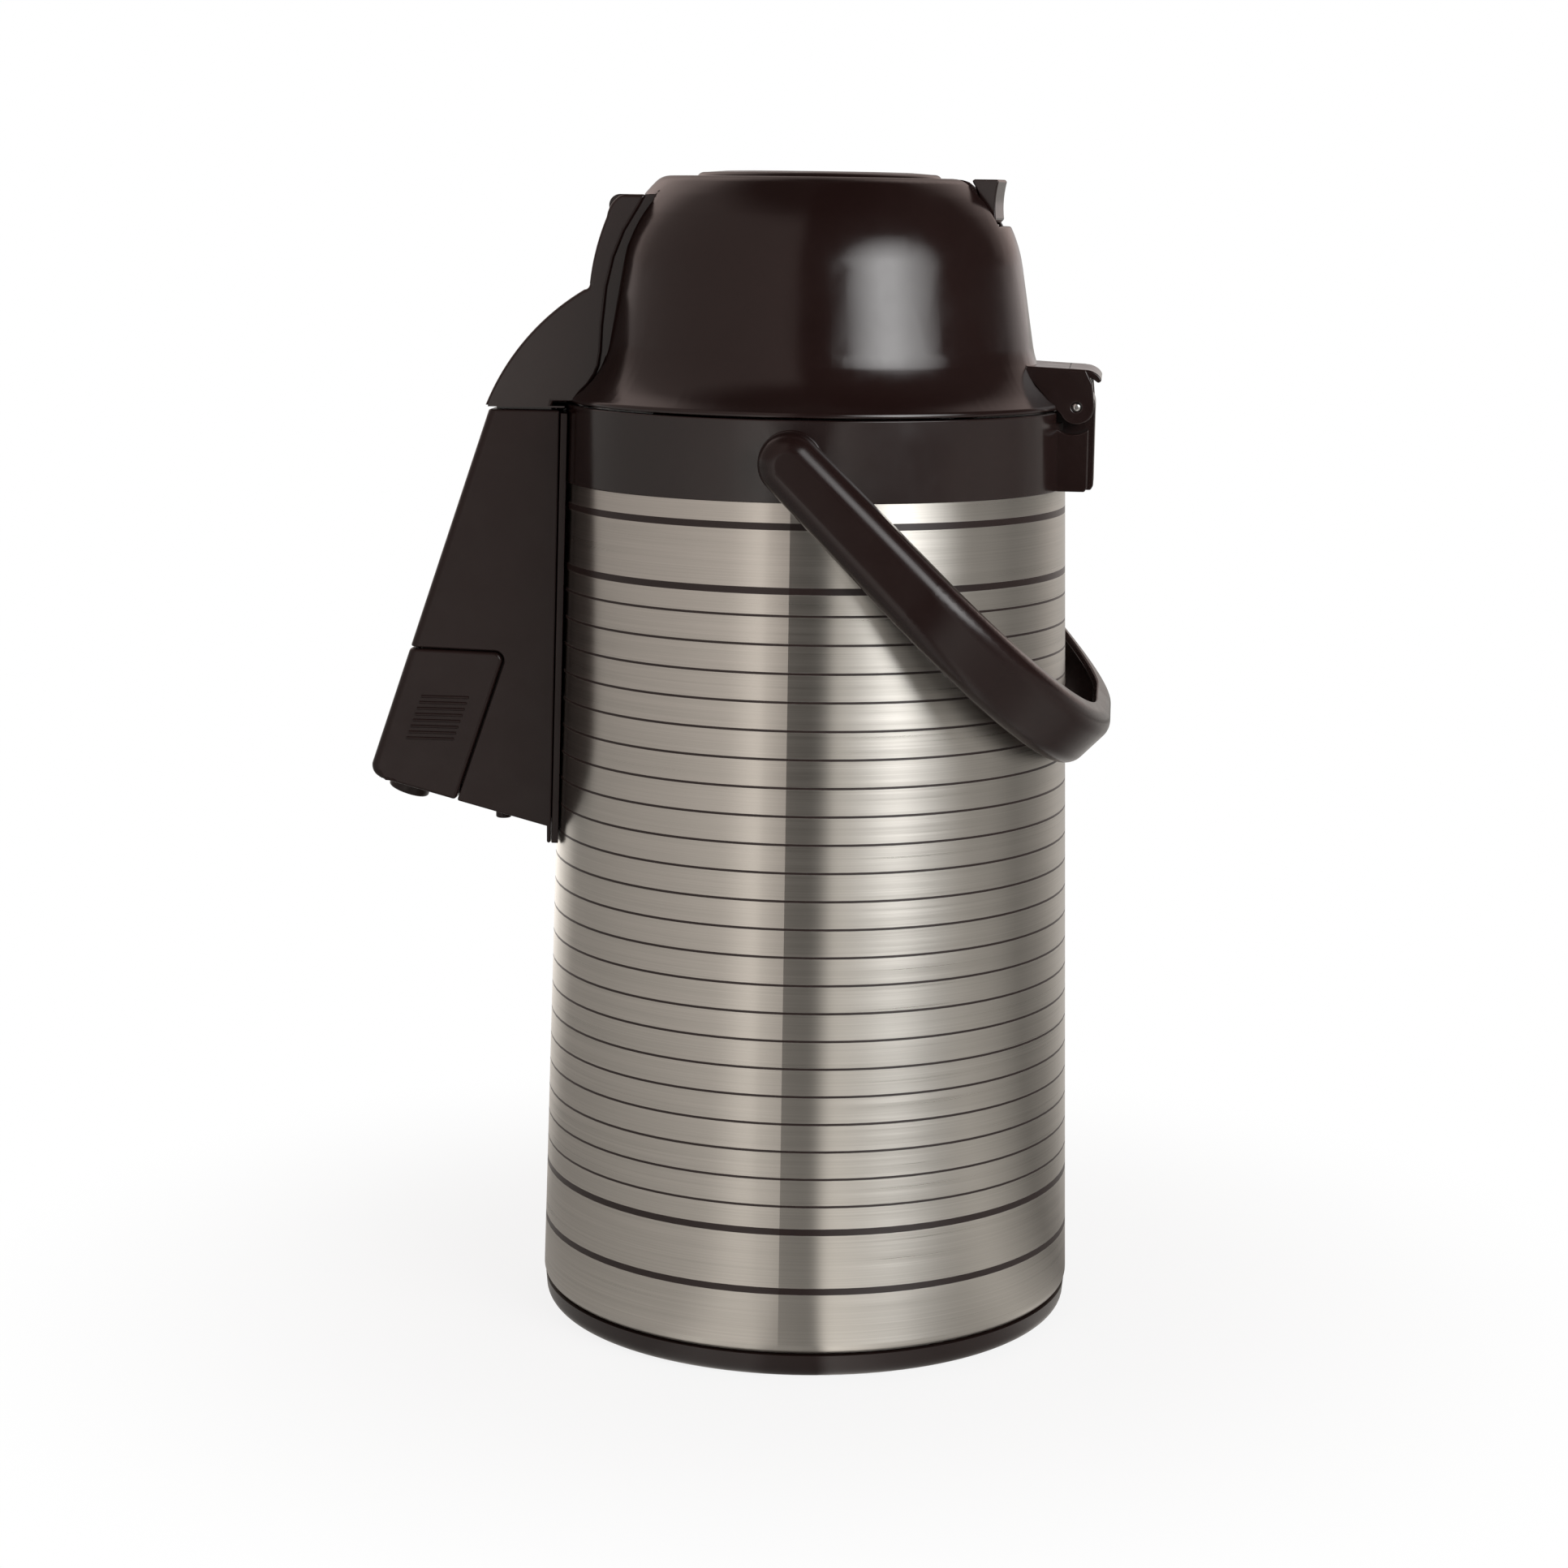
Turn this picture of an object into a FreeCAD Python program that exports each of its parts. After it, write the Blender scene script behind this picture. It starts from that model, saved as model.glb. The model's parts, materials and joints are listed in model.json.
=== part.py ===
import FreeCAD, Part
import math
import os

import Sketcher

os.makedirs("parts", exist_ok=True)
doc = FreeCAD.newDocument("PumpPot")
sheet = doc.addObject("Spreadsheet::Sheet", "Dims")
rows = []
nodes = []


class Size:
    # A length: its value in millimetres and the sheet expression that drives it.
    def __init__(self, value, text):
        self.value = value
        self.text = text

    def __add__(self, other):
        return joined(self, "+", other)

    def __radd__(self, other):
        return joined(other, "+", self)

    def __sub__(self, other):
        return joined(self, "-", other)

    def __rsub__(self, other):
        return joined(other, "-", self)

    def __mul__(self, other):
        return joined(self, "*", other)

    def __rmul__(self, other):
        return joined(other, "*", self)

    def __truediv__(self, other):
        return joined(self, "/", other)

    def __neg__(self):
        return joined(0, "-", self)


def sized(value):
    if isinstance(value, Size):
        return value
    return Size(float(value), "(" + repr(float(value)) + ")")


def joined(left, sign, right):
    left = sized(left)
    right = sized(right)
    if sign == "+":
        value = left.value + right.value
    elif sign == "-":
        value = left.value - right.value
    elif sign == "*":
        value = left.value * right.value
    else:
        value = left.value / right.value
    return Size(value, "(" + left.text + " " + sign + " " + right.text + ")")


def dim(name, value, note):
    rows.append(name)
    line = str(len(rows))
    sheet.set("A" + line, name)
    sheet.set("B" + line, str(value))
    sheet.set("C" + line, note)
    sheet.setAlias("B" + line, name)
    return Size(float(value), "Dims." + name)


# Body and base
steel_low = dim("steel_low", 7.6, "lower edge of the steel shell")
steel_top = dim("steel_top", 269.3, "upper edge of the steel shell")
steel_low_radius = dim("steel_low_radius", 86.6, "shell radius at the foot")
steel_top_radius = dim("steel_top_radius", 79.5, "shell radius under the collar")
steel_wall = dim("steel_wall", 0.8, "sheet thickness")
foot_radius = dim("foot_radius", 82.0, "radius of the resting edge")
base_radius = dim("base_radius", 86.0, "widest radius of the base ring")
cap_radius = dim("cap_radius", 61.1, "bottom screw cap")
# Glass liner
liner_radius = dim("liner_radius", 72.0, "outer flask")
flask_radius = dim("flask_radius", 67.6, "inner flask")
glass_wall = dim("glass_wall", 1.6, "glass thickness")
liner_shoulder = dim("liner_shoulder", 212.0, "start of the shoulder")
liner_mouth = dim("liner_mouth", 264.0, "top of the glass lip")
mouth_radius = dim("mouth_radius", 25.5, "clear mouth")
# Collar
collar_top = dim("collar_top", 293.8, "seam with the lid")
collar_low_radius = dim("collar_low_radius", 79.9, "collar at the steel")
collar_top_radius = dim("collar_top_radius", 79.3, "collar at the lid")
deck_top = dim("deck_top", 291.5, "deck under the lid")
deck_wall = dim("deck_wall", 2.4, "moulded wall")
funnel_radius = dim("funnel_radius", 41.0, "top of the mouth funnel")
seat_height = dim("seat_height", 268.0, "collar seat on the neck gasket")
# Hinge
hinge_y = dim("hinge_y", 82.6, "hinge pin from the axis")
hinge_z = dim("hinge_z", 295.5, "hinge pin height")
hinge_half = dim("hinge_half", 20.0, "half width of the hinge")
knuckle_half = dim("knuckle_half", 12.3, "half width of the collar knuckle")
knuckle_radius = dim("knuckle_radius", 5.8, "collar knuckle round the pin")
cheek_radius = dim("cheek_radius", 5.5, "lid cheek round the pin")
pin_radius = dim("pin_radius", 1.45, "hinge and latch pins")
pin_play = dim("pin_play", 0.05, "running clearance on pins")
# Handle
pivot_z = dim("pivot_z", 281.2, "handle pivot height")
trunnion_radius = dim("trunnion_radius", 6.0, "handle trunnion")
trunnion_face = dim("trunnion_face", 80.9, "flat pad beside the arm")
trunnion_end = dim("trunnion_end", 87.2, "tip of the trunnion")
arm_inner = dim("arm_inner", 81.3, "inner face of the arm")
arm_outer = dim("arm_outer", 90.3, "outer face of the arm")
arm_half = dim("arm_half", 9.4, "half width of the bail's strap at the pivots")
grip_half = dim("grip_half", 10.9, "half width of the strap at the grip")
grip_reach = dim("grip_reach", 128.9, "pivot to the outside of the grip")
grip_depth = dim("grip_depth", 9.7, "grip thickness")
grip_wall = dim("grip_wall", 2.6, "wall of the channel")
corner_radius = dim("corner_radius", 74.6, "outer corner of the bail")
handle_hang = dim("handle_hang", 45.2, "degrees below level at rest")
# Spout
spout_half = dim("spout_half", 27.0, "half width of spout and nose")
spout_top = dim("spout_top", 291.8, "top of the spout")
spout_top_front = dim("spout_top_front", 100.8, "front edge at the top")
spout_lean = dim("spout_lean", 0.3386, "forward run per unit of drop")
spout_wall = dim("spout_wall", 2.2, "moulded wall")
spout_foot = dim("spout_foot", 154.1, "lower end of the rear tabs")
pipe_z = dim("pipe_z", 276.5, "level pouring pipe")
pipe_radius = dim("pipe_radius", 5.0, "pouring pipe outside")
pipe_bore = dim("pipe_bore", 3.6, "pouring pipe inside")
pipe_bend = dim("pipe_bend", 16.0, "bend of the pouring pipe")
pipe_corner = dim("pipe_corner", 95.2, "where the pipe's two runs meet")
nozzle_radius = dim("nozzle_radius", 6.7, "nozzle tip outside")
# Lid
lid_low = dim("lid_low", 294.4, "lower rim of the lid")
lid_rim = dim("lid_rim", 79.2, "lid radius at the seam")
lid_top = dim("lid_top", 364.5, "top rim of the lid")
lid_wall = dim("lid_wall", 2.2, "moulded wall")
plate_bore = dim("plate_bore", 39.2, "guide for the push plate")
plate_radius = dim("plate_radius", 38.5, "push plate")
plate_top = dim("plate_top", 366.3, "crown of the push plate")
nose_top = dim("nose_top", 358.5, "top of the nose")
latch_y = dim("latch_y", 70.5, "latch pin from the axis")
latch_z = dim("latch_z", 321.5, "latch pin height")
lever_half = dim("lever_half", 16.0, "half width of the latch lever")
notch_half = dim("notch_half", 18.5, "half width of the lock notch")
notch_floor = dim("notch_floor", 350.2, "floor of the lock notch")
ring_low = dim("ring_low", 341.5, "underside of the lock ring")
boss_spot = dim("boss_spot", 43.4, "lid screws from the axis, each way")
bellows_radius = dim("bellows_radius", 33.5, "bellows folds outside")
bellows_neck = dim("bellows_neck", 26.5, "bellows folds inside")
doc.recompute()

steel_taper = (steel_low_radius - steel_top_radius) / (steel_top - steel_low)


def steel_radius(z):
    return steel_low_radius - steel_taper * (sized(z) - steel_low)


def origin_plane(body, role):
    for feature in body.Origin.OriginFeatures:
        if feature.Role == role + "_Plane":
            return feature


def new_body(name):
    return doc.addObject("PartDesign::Body", name)


def fix_distance(drawing, kind, index, end, value):
    value = sized(value)
    if abs(value.value) < 1e-9:
        axis = -2 if kind == "DistanceX" else -1
        drawing.addConstraint(Sketcher.Constraint("PointOnObject", index, end, axis))
        return
    if value.value > 0:
        number = drawing.addConstraint(Sketcher.Constraint(kind, -1, 1, index, end, value.value))
        text = value.text
    else:
        number = drawing.addConstraint(Sketcher.Constraint(kind, index, end, -1, 1, -value.value))
        text = "0 - " + value.text
    drawing.setExpression("Constraints[%d]" % number, text)


def draw_outline(drawing, points):
    # Each point is (u, v), or (u, v, radius) where an arc runs on to the next point:
    # a positive radius turns left, a negative one turns right.
    ends = []
    first = drawing.GeometryCount
    for number, point in enumerate(points):
        following = points[(number + 1) % len(points)]
        start = FreeCAD.Vector(sized(point[0]).value, sized(point[1]).value, 0)
        stop = FreeCAD.Vector(sized(following[0]).value, sized(following[1]).value, 0)
        if len(point) == 2:
            drawing.addGeometry(Part.LineSegment(start, stop), False)
            ends.append((1, 2))
            continue
        radius = sized(point[2]).value
        chord = stop - start
        rise = math.sqrt(max(radius * radius - chord.Length * chord.Length / 4, 0.0))
        side = FreeCAD.Vector(-chord.y, chord.x, 0) / chord.Length
        if radius < 0:
            side = side * -1
        centre = (start + stop) * 0.5 + side * rise
        angles = [math.atan2(p.y - centre.y, p.x - centre.x) for p in (start, stop)]
        if radius < 0:
            angles.reverse()
        circle = Part.Circle(centre, FreeCAD.Vector(0, 0, 1), abs(radius))
        drawing.addGeometry(Part.ArcOfCircle(circle, angles[0], angles[1]), False)
        ends.append((1, 2) if radius > 0 else (2, 1))
    for number, point in enumerate(points):
        index = first + number
        after = first + (number + 1) % len(points)
        before_end = ends[number][1]
        after_start = ends[(number + 1) % len(points)][0]
        drawing.addConstraint(Sketcher.Constraint("Coincident", index, before_end, after, after_start))
        fix_distance(drawing, "DistanceX", index, ends[number][0], point[0])
        fix_distance(drawing, "DistanceY", index, ends[number][0], point[1])
        if len(point) == 3:
            radius = sized(point[2])
            constraint = Sketcher.Constraint("Radius", index, abs(radius.value))
            made = drawing.addConstraint(constraint)
            drawing.setExpression("Constraints[%d]" % made, "abs(" + radius.text + ")")


def draw_circle(drawing, u, v, radius):
    u = sized(u)
    v = sized(v)
    radius = sized(radius)
    centre = FreeCAD.Vector(u.value, v.value, 0)
    circle = Part.Circle(centre, FreeCAD.Vector(0, 0, 1), radius.value)
    index = drawing.addGeometry(circle, False)
    fix_distance(drawing, "DistanceX", index, 3, u)
    fix_distance(drawing, "DistanceY", index, 3, v)
    made = drawing.addConstraint(Sketcher.Constraint("Radius", index, radius.value))
    drawing.setExpression("Constraints[%d]" % made, radius.text)


def sketch(body, role, outlines=(), circles=(), lift=None):
    drawing = body.newObject("Sketcher::SketchObject", body.Name + "_sketch")
    drawing.AttachmentSupport = [(origin_plane(body, role), "")]
    drawing.MapMode = "FlatFace"
    if lift is not None:
        lift = sized(lift)
        drawing.AttachmentOffset = FreeCAD.Placement(
            FreeCAD.Vector(0, 0, lift.value), FreeCAD.Rotation())
        drawing.setExpression("AttachmentOffset.Base.z", lift.text)
    for points in outlines:
        draw_outline(drawing, points)
    for u, v, radius in circles:
        draw_circle(drawing, u, v, radius)
    doc.recompute()
    return drawing


def spin(body, points, cut=False):
    # Turns an outline of radius and height round the vertical axis.
    drawing = sketch(body, "XZ", [points])
    kind = "PartDesign::Groove" if cut else "PartDesign::Revolution"
    feature = body.newObject(kind, body.Name + "_spin")
    feature.Profile = drawing
    feature.ReferenceAxis = (drawing, ["V_Axis"])
    feature.Angle = 360
    doc.recompute()
    return feature


def extrude(body, drawing, length, cut, middle, turned=False):
    kind = "PartDesign::Pocket" if cut else "PartDesign::Pad"
    feature = body.newObject(kind, body.Name + "_block")
    feature.Profile = drawing
    length = sized(length)
    feature.Length = length.value
    feature.setExpression("Length", length.text)
    feature.Midplane = middle
    feature.Reversed = turned
    doc.recompute()
    return feature


def across(body, points, half, cut=False, circles=()):
    # A side outline of depth and height, as wide as twice the half width.
    outlines = [points] if points else []
    drawing = sketch(body, "YZ", outlines, circles)
    return extrude(body, drawing, 2 * sized(half), cut, True)


def beside(body, x_low, x_high, points=None, circle=None, cut=False):
    # A side outline between two stations across the width.
    outlines = [points] if points else []
    circles = [circle] if circle else []
    drawing = sketch(body, "YZ", outlines, circles, lift=x_low)
    return extrude(body, drawing, sized(x_high) - x_low, cut, False, cut)


def level(body, z_low, z_high, points=None, circle=None, cut=False):
    # A plan outline between two heights.
    outlines = [points] if points else []
    circles = [circle] if circle else []
    drawing = sketch(body, "XY", outlines, circles, lift=z_low)
    return extrude(body, drawing, sized(z_high) - z_low, cut, False, cut)


def place(thing, base, rotation=None):
    base = [sized(value) for value in base]
    spot = FreeCAD.Vector(base[0].value, base[1].value, base[2].value)
    thing.Placement = FreeCAD.Placement(spot, rotation or FreeCAD.Rotation())
    for axis, value in zip("xyz", base):
        thing.setExpression("Placement.Base." + axis, value.text)
    doc.recompute()
    return thing


def box(name, low, high):
    thing = doc.addObject("Part::Box", name)
    for side, start, stop in zip(("Length", "Width", "Height"), low, high):
        span = sized(stop) - start
        setattr(thing, side, span.value)
        thing.setExpression(side, span.text)
    return place(thing, low)


def rod(name, radius, length, base, direction):
    thing = doc.addObject("Part::Cylinder", name)
    radius = sized(radius)
    length = sized(length)
    thing.Radius = radius.value
    thing.Height = length.value
    thing.setExpression("Radius", radius.text)
    thing.setExpression("Height", length.text)
    turn = FreeCAD.Rotation(FreeCAD.Vector(0, 0, 1), FreeCAD.Vector(*direction))
    return place(thing, base, turn)


def cut(name, base, *tools):
    tool = tools[0]
    if len(tools) > 1:
        tool = doc.addObject("Part::MultiFuse", name + "_tools")
        tool.Shapes = list(tools)
    thing = doc.addObject("Part::Cut", name)
    thing.Base = base
    thing.Tool = tool
    doc.recompute()
    return thing


def fuse(name, *pieces):
    thing = doc.addObject("Part::MultiFuse", name)
    thing.Shapes = list(pieces)
    thing.Refine = True
    doc.recompute()
    return thing


def common(name, left, right):
    thing = doc.addObject("Part::Common", name)
    thing.Base = left
    thing.Tool = right
    doc.recompute()
    return thing


def edges_where(shape, test):
    return [number + 1 for number, edge in enumerate(shape.Edges) if test(edge)]


def soften(body, feature, radius, test):
    # Rounds the edges of a body's last feature that pass the test.
    feature_round = body.newObject("PartDesign::Fillet", body.Name + "_round")
    names = ["Edge%d" % number for number in edges_where(feature.Shape, test)]
    feature_round.Base = (feature, names)
    feature_round.Radius = sized(radius).value
    feature_round.setExpression("Radius", sized(radius).text)
    doc.recompute()
    return feature_round


def rounded(name, base, radius, test):
    # Rounds the edges of a finished shape that pass the test.
    thing = doc.addObject("Part::Fillet", name)
    thing.Base = base
    thing.Edges = [(number, radius, radius) for number in edges_where(base.Shape, test)]
    doc.recompute()
    return thing


def node(thing, label):
    thing.Label = label
    nodes.append(thing)
    return thing


def tube_along(body, run, outside, inside):
    # A round tube swept along a run of points (depth, height), arcs between where a radius is given.
    spine = body.newObject("Sketcher::SketchObject", body.Name + "_run")
    spine.AttachmentSupport = [(origin_plane(body, "YZ"), "")]
    spine.MapMode = "FlatFace"
    ends = []
    for number in range(len(run) - 1):
        start = FreeCAD.Vector(sized(run[number][0]).value, sized(run[number][1]).value, 0)
        stop = FreeCAD.Vector(sized(run[number + 1][0]).value, sized(run[number + 1][1]).value, 0)
        if len(run[number]) == 2:
            spine.addGeometry(Part.LineSegment(start, stop), False)
            ends.append((1, 2))
            continue
        radius = sized(run[number][2]).value
        chord = stop - start
        rise = math.sqrt(radius * radius - chord.Length * chord.Length / 4)
        side = FreeCAD.Vector(-chord.y, chord.x, 0) / chord.Length
        if radius < 0:
            side = side * -1
        centre = (start + stop) * 0.5 + side * rise
        angles = [math.atan2(p.y - centre.y, p.x - centre.x) for p in (start, stop)]
        if radius < 0:
            angles.reverse()
        circle = Part.Circle(centre, FreeCAD.Vector(0, 0, 1), abs(radius))
        spine.addGeometry(Part.ArcOfCircle(circle, angles[0], angles[1]), False)
        ends.append((1, 2) if radius > 0 else (2, 1))
    for number in range(len(run) - 1):
        fix_distance(spine, "DistanceX", number, ends[number][0], run[number][0])
        fix_distance(spine, "DistanceY", number, ends[number][0], run[number][1])
        if number + 2 < len(run):
            later = ends[number + 1][0]
            spine.addConstraint(
                Sketcher.Constraint("Coincident", number, ends[number][1], number + 1, later))
        else:
            fix_distance(spine, "DistanceX", number, ends[number][1], run[number + 1][0])
            fix_distance(spine, "DistanceY", number, ends[number][1], run[number + 1][1])
    doc.recompute()
    ring = sketch(body, "XZ", circles=[(0, run[0][1], outside), (0, run[0][1], inside)], lift=-sized(run[0][0]))
    feature = body.newObject("PartDesign::AdditivePipe", body.Name + "_pipe")
    feature.Profile = ring
    feature.Spine = spine
    doc.recompute()
    return feature


# Base ring: foot, web under the shell and threaded throat for the bottom cap
ring = new_body("base_ring")
spin(ring, [
    (foot_radius - 5, 0),
    (foot_radius, 0, 4.6),
    (base_radius - 0.3, 4.4),
    (base_radius, steel_low),
    (foot_radius - 0.1, steel_low),
    (foot_radius - 0.1, steel_low + 7),
    (foot_radius - 2.5, steel_low + 7),
    (foot_radius - 2.5, 9.2),
    (cap_radius + 3.3, 9.2),
    (cap_radius + 3.3, 16),
    (cap_radius + 0.3, 16),
    (cap_radius + 0.3, 4.2),
    (cap_radius + 3.3, 4.2),
    (cap_radius + 3.3, 6.4),
    (foot_radius - 6, 6.4),
])
node(ring, "base_ring")

# Bottom cap: flanged cup with a grip bar across it
bottom = new_body("bottom_cap")
spin(bottom, [
    (0, 6),
    (cap_radius - 2.7, 6),
    (cap_radius - 2.7, 2.6),
    (cap_radius + 2.7, 2.6),
    (cap_radius + 2.7, 4.2),
    (cap_radius, 4.2),
    (cap_radius, 15.5),
    (cap_radius - 2.7, 15.5),
    (cap_radius - 2.7, 9),
    (0, 9),
])
level(bottom, 2.6, 7.5, [
    (-(cap_radius - 1.5), -5),
    (cap_radius - 1.5, -5),
    (cap_radius - 1.5, 5),
    (-(cap_radius - 1.5), 5),
])
node(bottom, "bottom_cap")

# Rubber cushion between the cap and the glass
cushion = new_body("liner_cushion")
spin(cushion, [
    (24, 9),
    (50, 9),
    (50, 38.2, -110),
    (24, 29.1),
])
node(cushion, "liner_cushion")

# Steel shell, flanged inwards at both ends
shell = new_body("body_shell")
spin(shell, [
    (foot_radius + 0.5, steel_low),
    (steel_low_radius - 3.3, steel_low, 3.6),
    (steel_low_radius - 0.1, steel_low + 3.6),
    (steel_top_radius, steel_top),
    (steel_top_radius - 4.3, steel_top),
    (steel_top_radius - 4.3, steel_top - steel_wall),
    (steel_top_radius - steel_wall, steel_top - steel_wall),
    (steel_low_radius - 0.1 - steel_wall, steel_low + 3.6, -2.8),
    (steel_low_radius - 3.3, steel_low + steel_wall),
    (foot_radius + 0.5, steel_low + steel_wall),
])
node(shell, "body_shell")

# Glass vacuum liner: outer flask with the sealed tip and the fused lip
outer = new_body("liner_outer")
spin(outer, [
    (0, 24),
    (3.5, 24),
    (4.5, 27, 110),
    (liner_radius - 16, 42, 32),
    (liner_radius, 66),
    (liner_radius, liner_shoulder, 40),
    (mouth_radius + 8.5, liner_shoulder + 38),
    (mouth_radius + 4.5, liner_mouth - 8),
    (mouth_radius + 4.5, liner_mouth),
    (mouth_radius, liner_mouth),
    (mouth_radius, liner_mouth - 2),
    (mouth_radius + 2.9, liner_mouth - 2),
    (mouth_radius + 2.9, liner_mouth - 9),
    (mouth_radius + 8.4, liner_shoulder + 36.4, -38.4),
    (liner_radius - glass_wall, liner_shoulder),
    (liner_radius - glass_wall, 66, -30.4),
    (liner_radius - 17.1, 43.3, -108),
    (4.2, 28.8),
    (0, 28.8),
])
node(outer, "liner_outer")

# Inner flask of the liner
inner = new_body("liner_inner")
spin(inner, [
    (0, 33, 110),
    (flask_radius - 14.6, 47, 28),
    (flask_radius, 69),
    (flask_radius, liner_shoulder - 1.5, 38),
    (mouth_radius + 6, liner_shoulder + 33),
    (mouth_radius + 1.6, liner_mouth - 12),
    (mouth_radius + 1.6, liner_mouth - 2),
    (mouth_radius, liner_mouth - 2),
    (mouth_radius, liner_mouth - 12.6),
    (mouth_radius + 5.9, liner_shoulder + 31.4, -36.4),
    (flask_radius - glass_wall, liner_shoulder - 1.5),
    (flask_radius - glass_wall, 69, -26.4),
    (flask_radius - 15.6, 48.3, -108.4),
    (0, 34.6),
])
node(inner, "liner_inner")

# Rubber gasket on the glass lip
neck = new_body("neck_gasket")
spin(neck, [
    (mouth_radius, liner_mouth),
    (mouth_radius + 4.7, liner_mouth),
    (mouth_radius + 4.7, liner_mouth - 5),
    (mouth_radius + 6.9, liner_mouth - 5),
    (mouth_radius + 6.9, seat_height),
    (mouth_radius, seat_height),
])
node(neck, "neck_gasket")

# Collar: outer wall, deck, mouth funnel and the spigot inside the shell
collar = new_body("collar_moulding")
spin(collar, [
    (collar_low_radius, steel_top),
    (collar_top_radius, collar_top),
    (collar_top_radius - 2.6, collar_top),
    (collar_top_radius - 3.4, deck_top),
    (funnel_radius, deck_top),
    (funnel_radius - 4, deck_top - 3.5),
    (mouth_radius + 8, seat_height + deck_wall),
    (mouth_radius, seat_height + deck_wall),
    (mouth_radius, seat_height),
    (mouth_radius + 10.5, seat_height),
    (funnel_radius - 1.6, deck_top - 4.5),
    (funnel_radius + 1, deck_top - deck_wall),
    (collar_top_radius - 5, deck_top - deck_wall),
    (collar_top_radius - 2.2, deck_top - 5.5),
    (collar_top_radius - 2.2, steel_top + 2.6),
    (steel_top_radius - 7, steel_top + 2.6),
    (steel_top_radius - 7, steel_top - 7),
    (steel_top_radius - 4.5, steel_top - 7),
    (steel_top_radius - 4.5, steel_top),
])
# hinge block with a cradle below the lid's cheeks, then the knuckle between them
across(collar, [
    (74, steel_top),
    (85.8, steel_top),
    (86.5, steel_top + 1.4),
    (86.5, hinge_z - 6.8, -7.6),
    (77, hinge_z - 6.8),
    (74, hinge_z - 6.8),
], hinge_half)
across(collar, [
    (78, steel_top),
    (87.6, steel_top),
    (hinge_y + knuckle_radius, steel_top + 1.4),
    (hinge_y + knuckle_radius, hinge_z, knuckle_radius),
    (hinge_y, hinge_z + knuckle_radius, knuckle_radius),
    (hinge_y - knuckle_radius, hinge_z),
    (hinge_y - knuckle_radius, hinge_z - 10),
], knuckle_half)
# handle trunnions on flat pads
for side in (1, -1):
    if side > 0:
        beside(collar, 77, trunnion_face, circle=(0, pivot_z, arm_half + 0.4))
        beside(collar, trunnion_face, trunnion_end, circle=(0, pivot_z, trunnion_radius))
    else:
        beside(collar, -trunnion_face, -77, circle=(0, pivot_z, arm_half + 0.4))
        beside(collar, -trunnion_end, -trunnion_face, circle=(0, pivot_z, trunnion_radius))
rim_left = box("rim_notch_left", (-(hinge_half + 0.6), 73.2, deck_top - 1), (-(knuckle_half), 95, 305))
rim_right = box("rim_notch_right", (knuckle_half, 73.2, deck_top - 1), (hinge_half + 0.6, 95, 305))
pin_bore = rod("pin_bore", pin_radius + 0.01, 60, (-30, hinge_y, hinge_z), (1, 0, 0))
pipe_way = rod("pipe_way", pipe_radius + 1.25, 90, (0, -20, pipe_z), (0, -1, 0))
collar_done = cut("collar_cut", collar, rim_left, rim_right, pin_bore, pipe_way)
node(collar_done, "collar")

pin = rod("hinge_pin", pin_radius, 2 * hinge_half + 0.8, (-(hinge_half + 0.4), hinge_y, hinge_z), (1, 0, 0))
node(pin, "hinge_pin")

# Bail handle, drawn level and then let hang behind the body
bail = new_body("bail")
grip_inner = grip_reach - grip_depth
bend_y = grip_reach - corner_radius
bend_x = arm_outer - corner_radius
inner_bend = corner_radius - grip_depth
wall_bend = corner_radius - grip_wall
bail_plan = sketch(bail, "XY", [[
    (arm_inner, -11),
    (arm_outer, -11),
    (arm_outer, bend_y, corner_radius),
    (bend_x, grip_reach),
    (-bend_x, grip_reach, corner_radius),
    (-arm_outer, bend_y),
    (-arm_outer, -11),
    (-arm_inner, -11),
    (-arm_inner, bend_y, -inner_bend),
    (-(arm_inner - inner_bend), grip_inner),
    (arm_inner - inner_bend, grip_inner, -inner_bend),
    (arm_inner, bend_y),
]])
extrude(bail, bail_plan, 2 * grip_half + 4, False, True)
bail_hollow = sketch(bail, "XY", [[
    (arm_inner - 4, 14),
    (arm_outer - grip_wall, 14),
    (arm_outer - grip_wall, bend_y, wall_bend),
    (bend_x, grip_reach - grip_wall),
    (-bend_x, grip_reach - grip_wall, wall_bend),
    (-(arm_outer - grip_wall), bend_y),
    (-(arm_outer - grip_wall), 14),
    (-(arm_inner - 4), 14),
    (-(arm_inner - 4), bend_y, -(inner_bend - 4)),
    (-(arm_inner - inner_bend), grip_inner - 4),
    (arm_inner - inner_bend, grip_inner - 4, -(inner_bend - 4)),
    (arm_inner - 4, bend_y),
]])
extrude(bail, bail_hollow, 13, True, True)
bail_side = new_body("bail_side")
across(bail_side, [
    (0, -arm_half),
    (grip_reach + 5, -grip_half),
    (grip_reach + 5, grip_half),
    (0, arm_half, arm_half),
    (-arm_half, 0, arm_half),
], arm_outer + 5)
bail_trim = common("bail_trim", bail, bail_side)


def on_bail_outside(edge):
    # Edges of the strap's outer face: along both arms, round the corners and over the grip.
    for spot in [edge.valueAt(edge.FirstParameter + part * (edge.LastParameter - edge.FirstParameter))
                 for part in (0, 0.3, 0.5, 1)]:
        rim = math.hypot(max(abs(spot.x) - bend_x.value, 0), max(spot.y - bend_y.value, 0))
        if spot.y <= bend_y.value:
            off = abs(abs(spot.x) - arm_outer.value)
        elif abs(spot.x) <= bend_x.value:
            off = abs(spot.y - grip_reach.value)
        else:
            off = abs(rim - corner_radius.value)
        if off > 0.01:
            return False
    box_z = edge.BoundBox
    return box_z.YLength > 0.5 or box_z.XLength > 0.5


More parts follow.
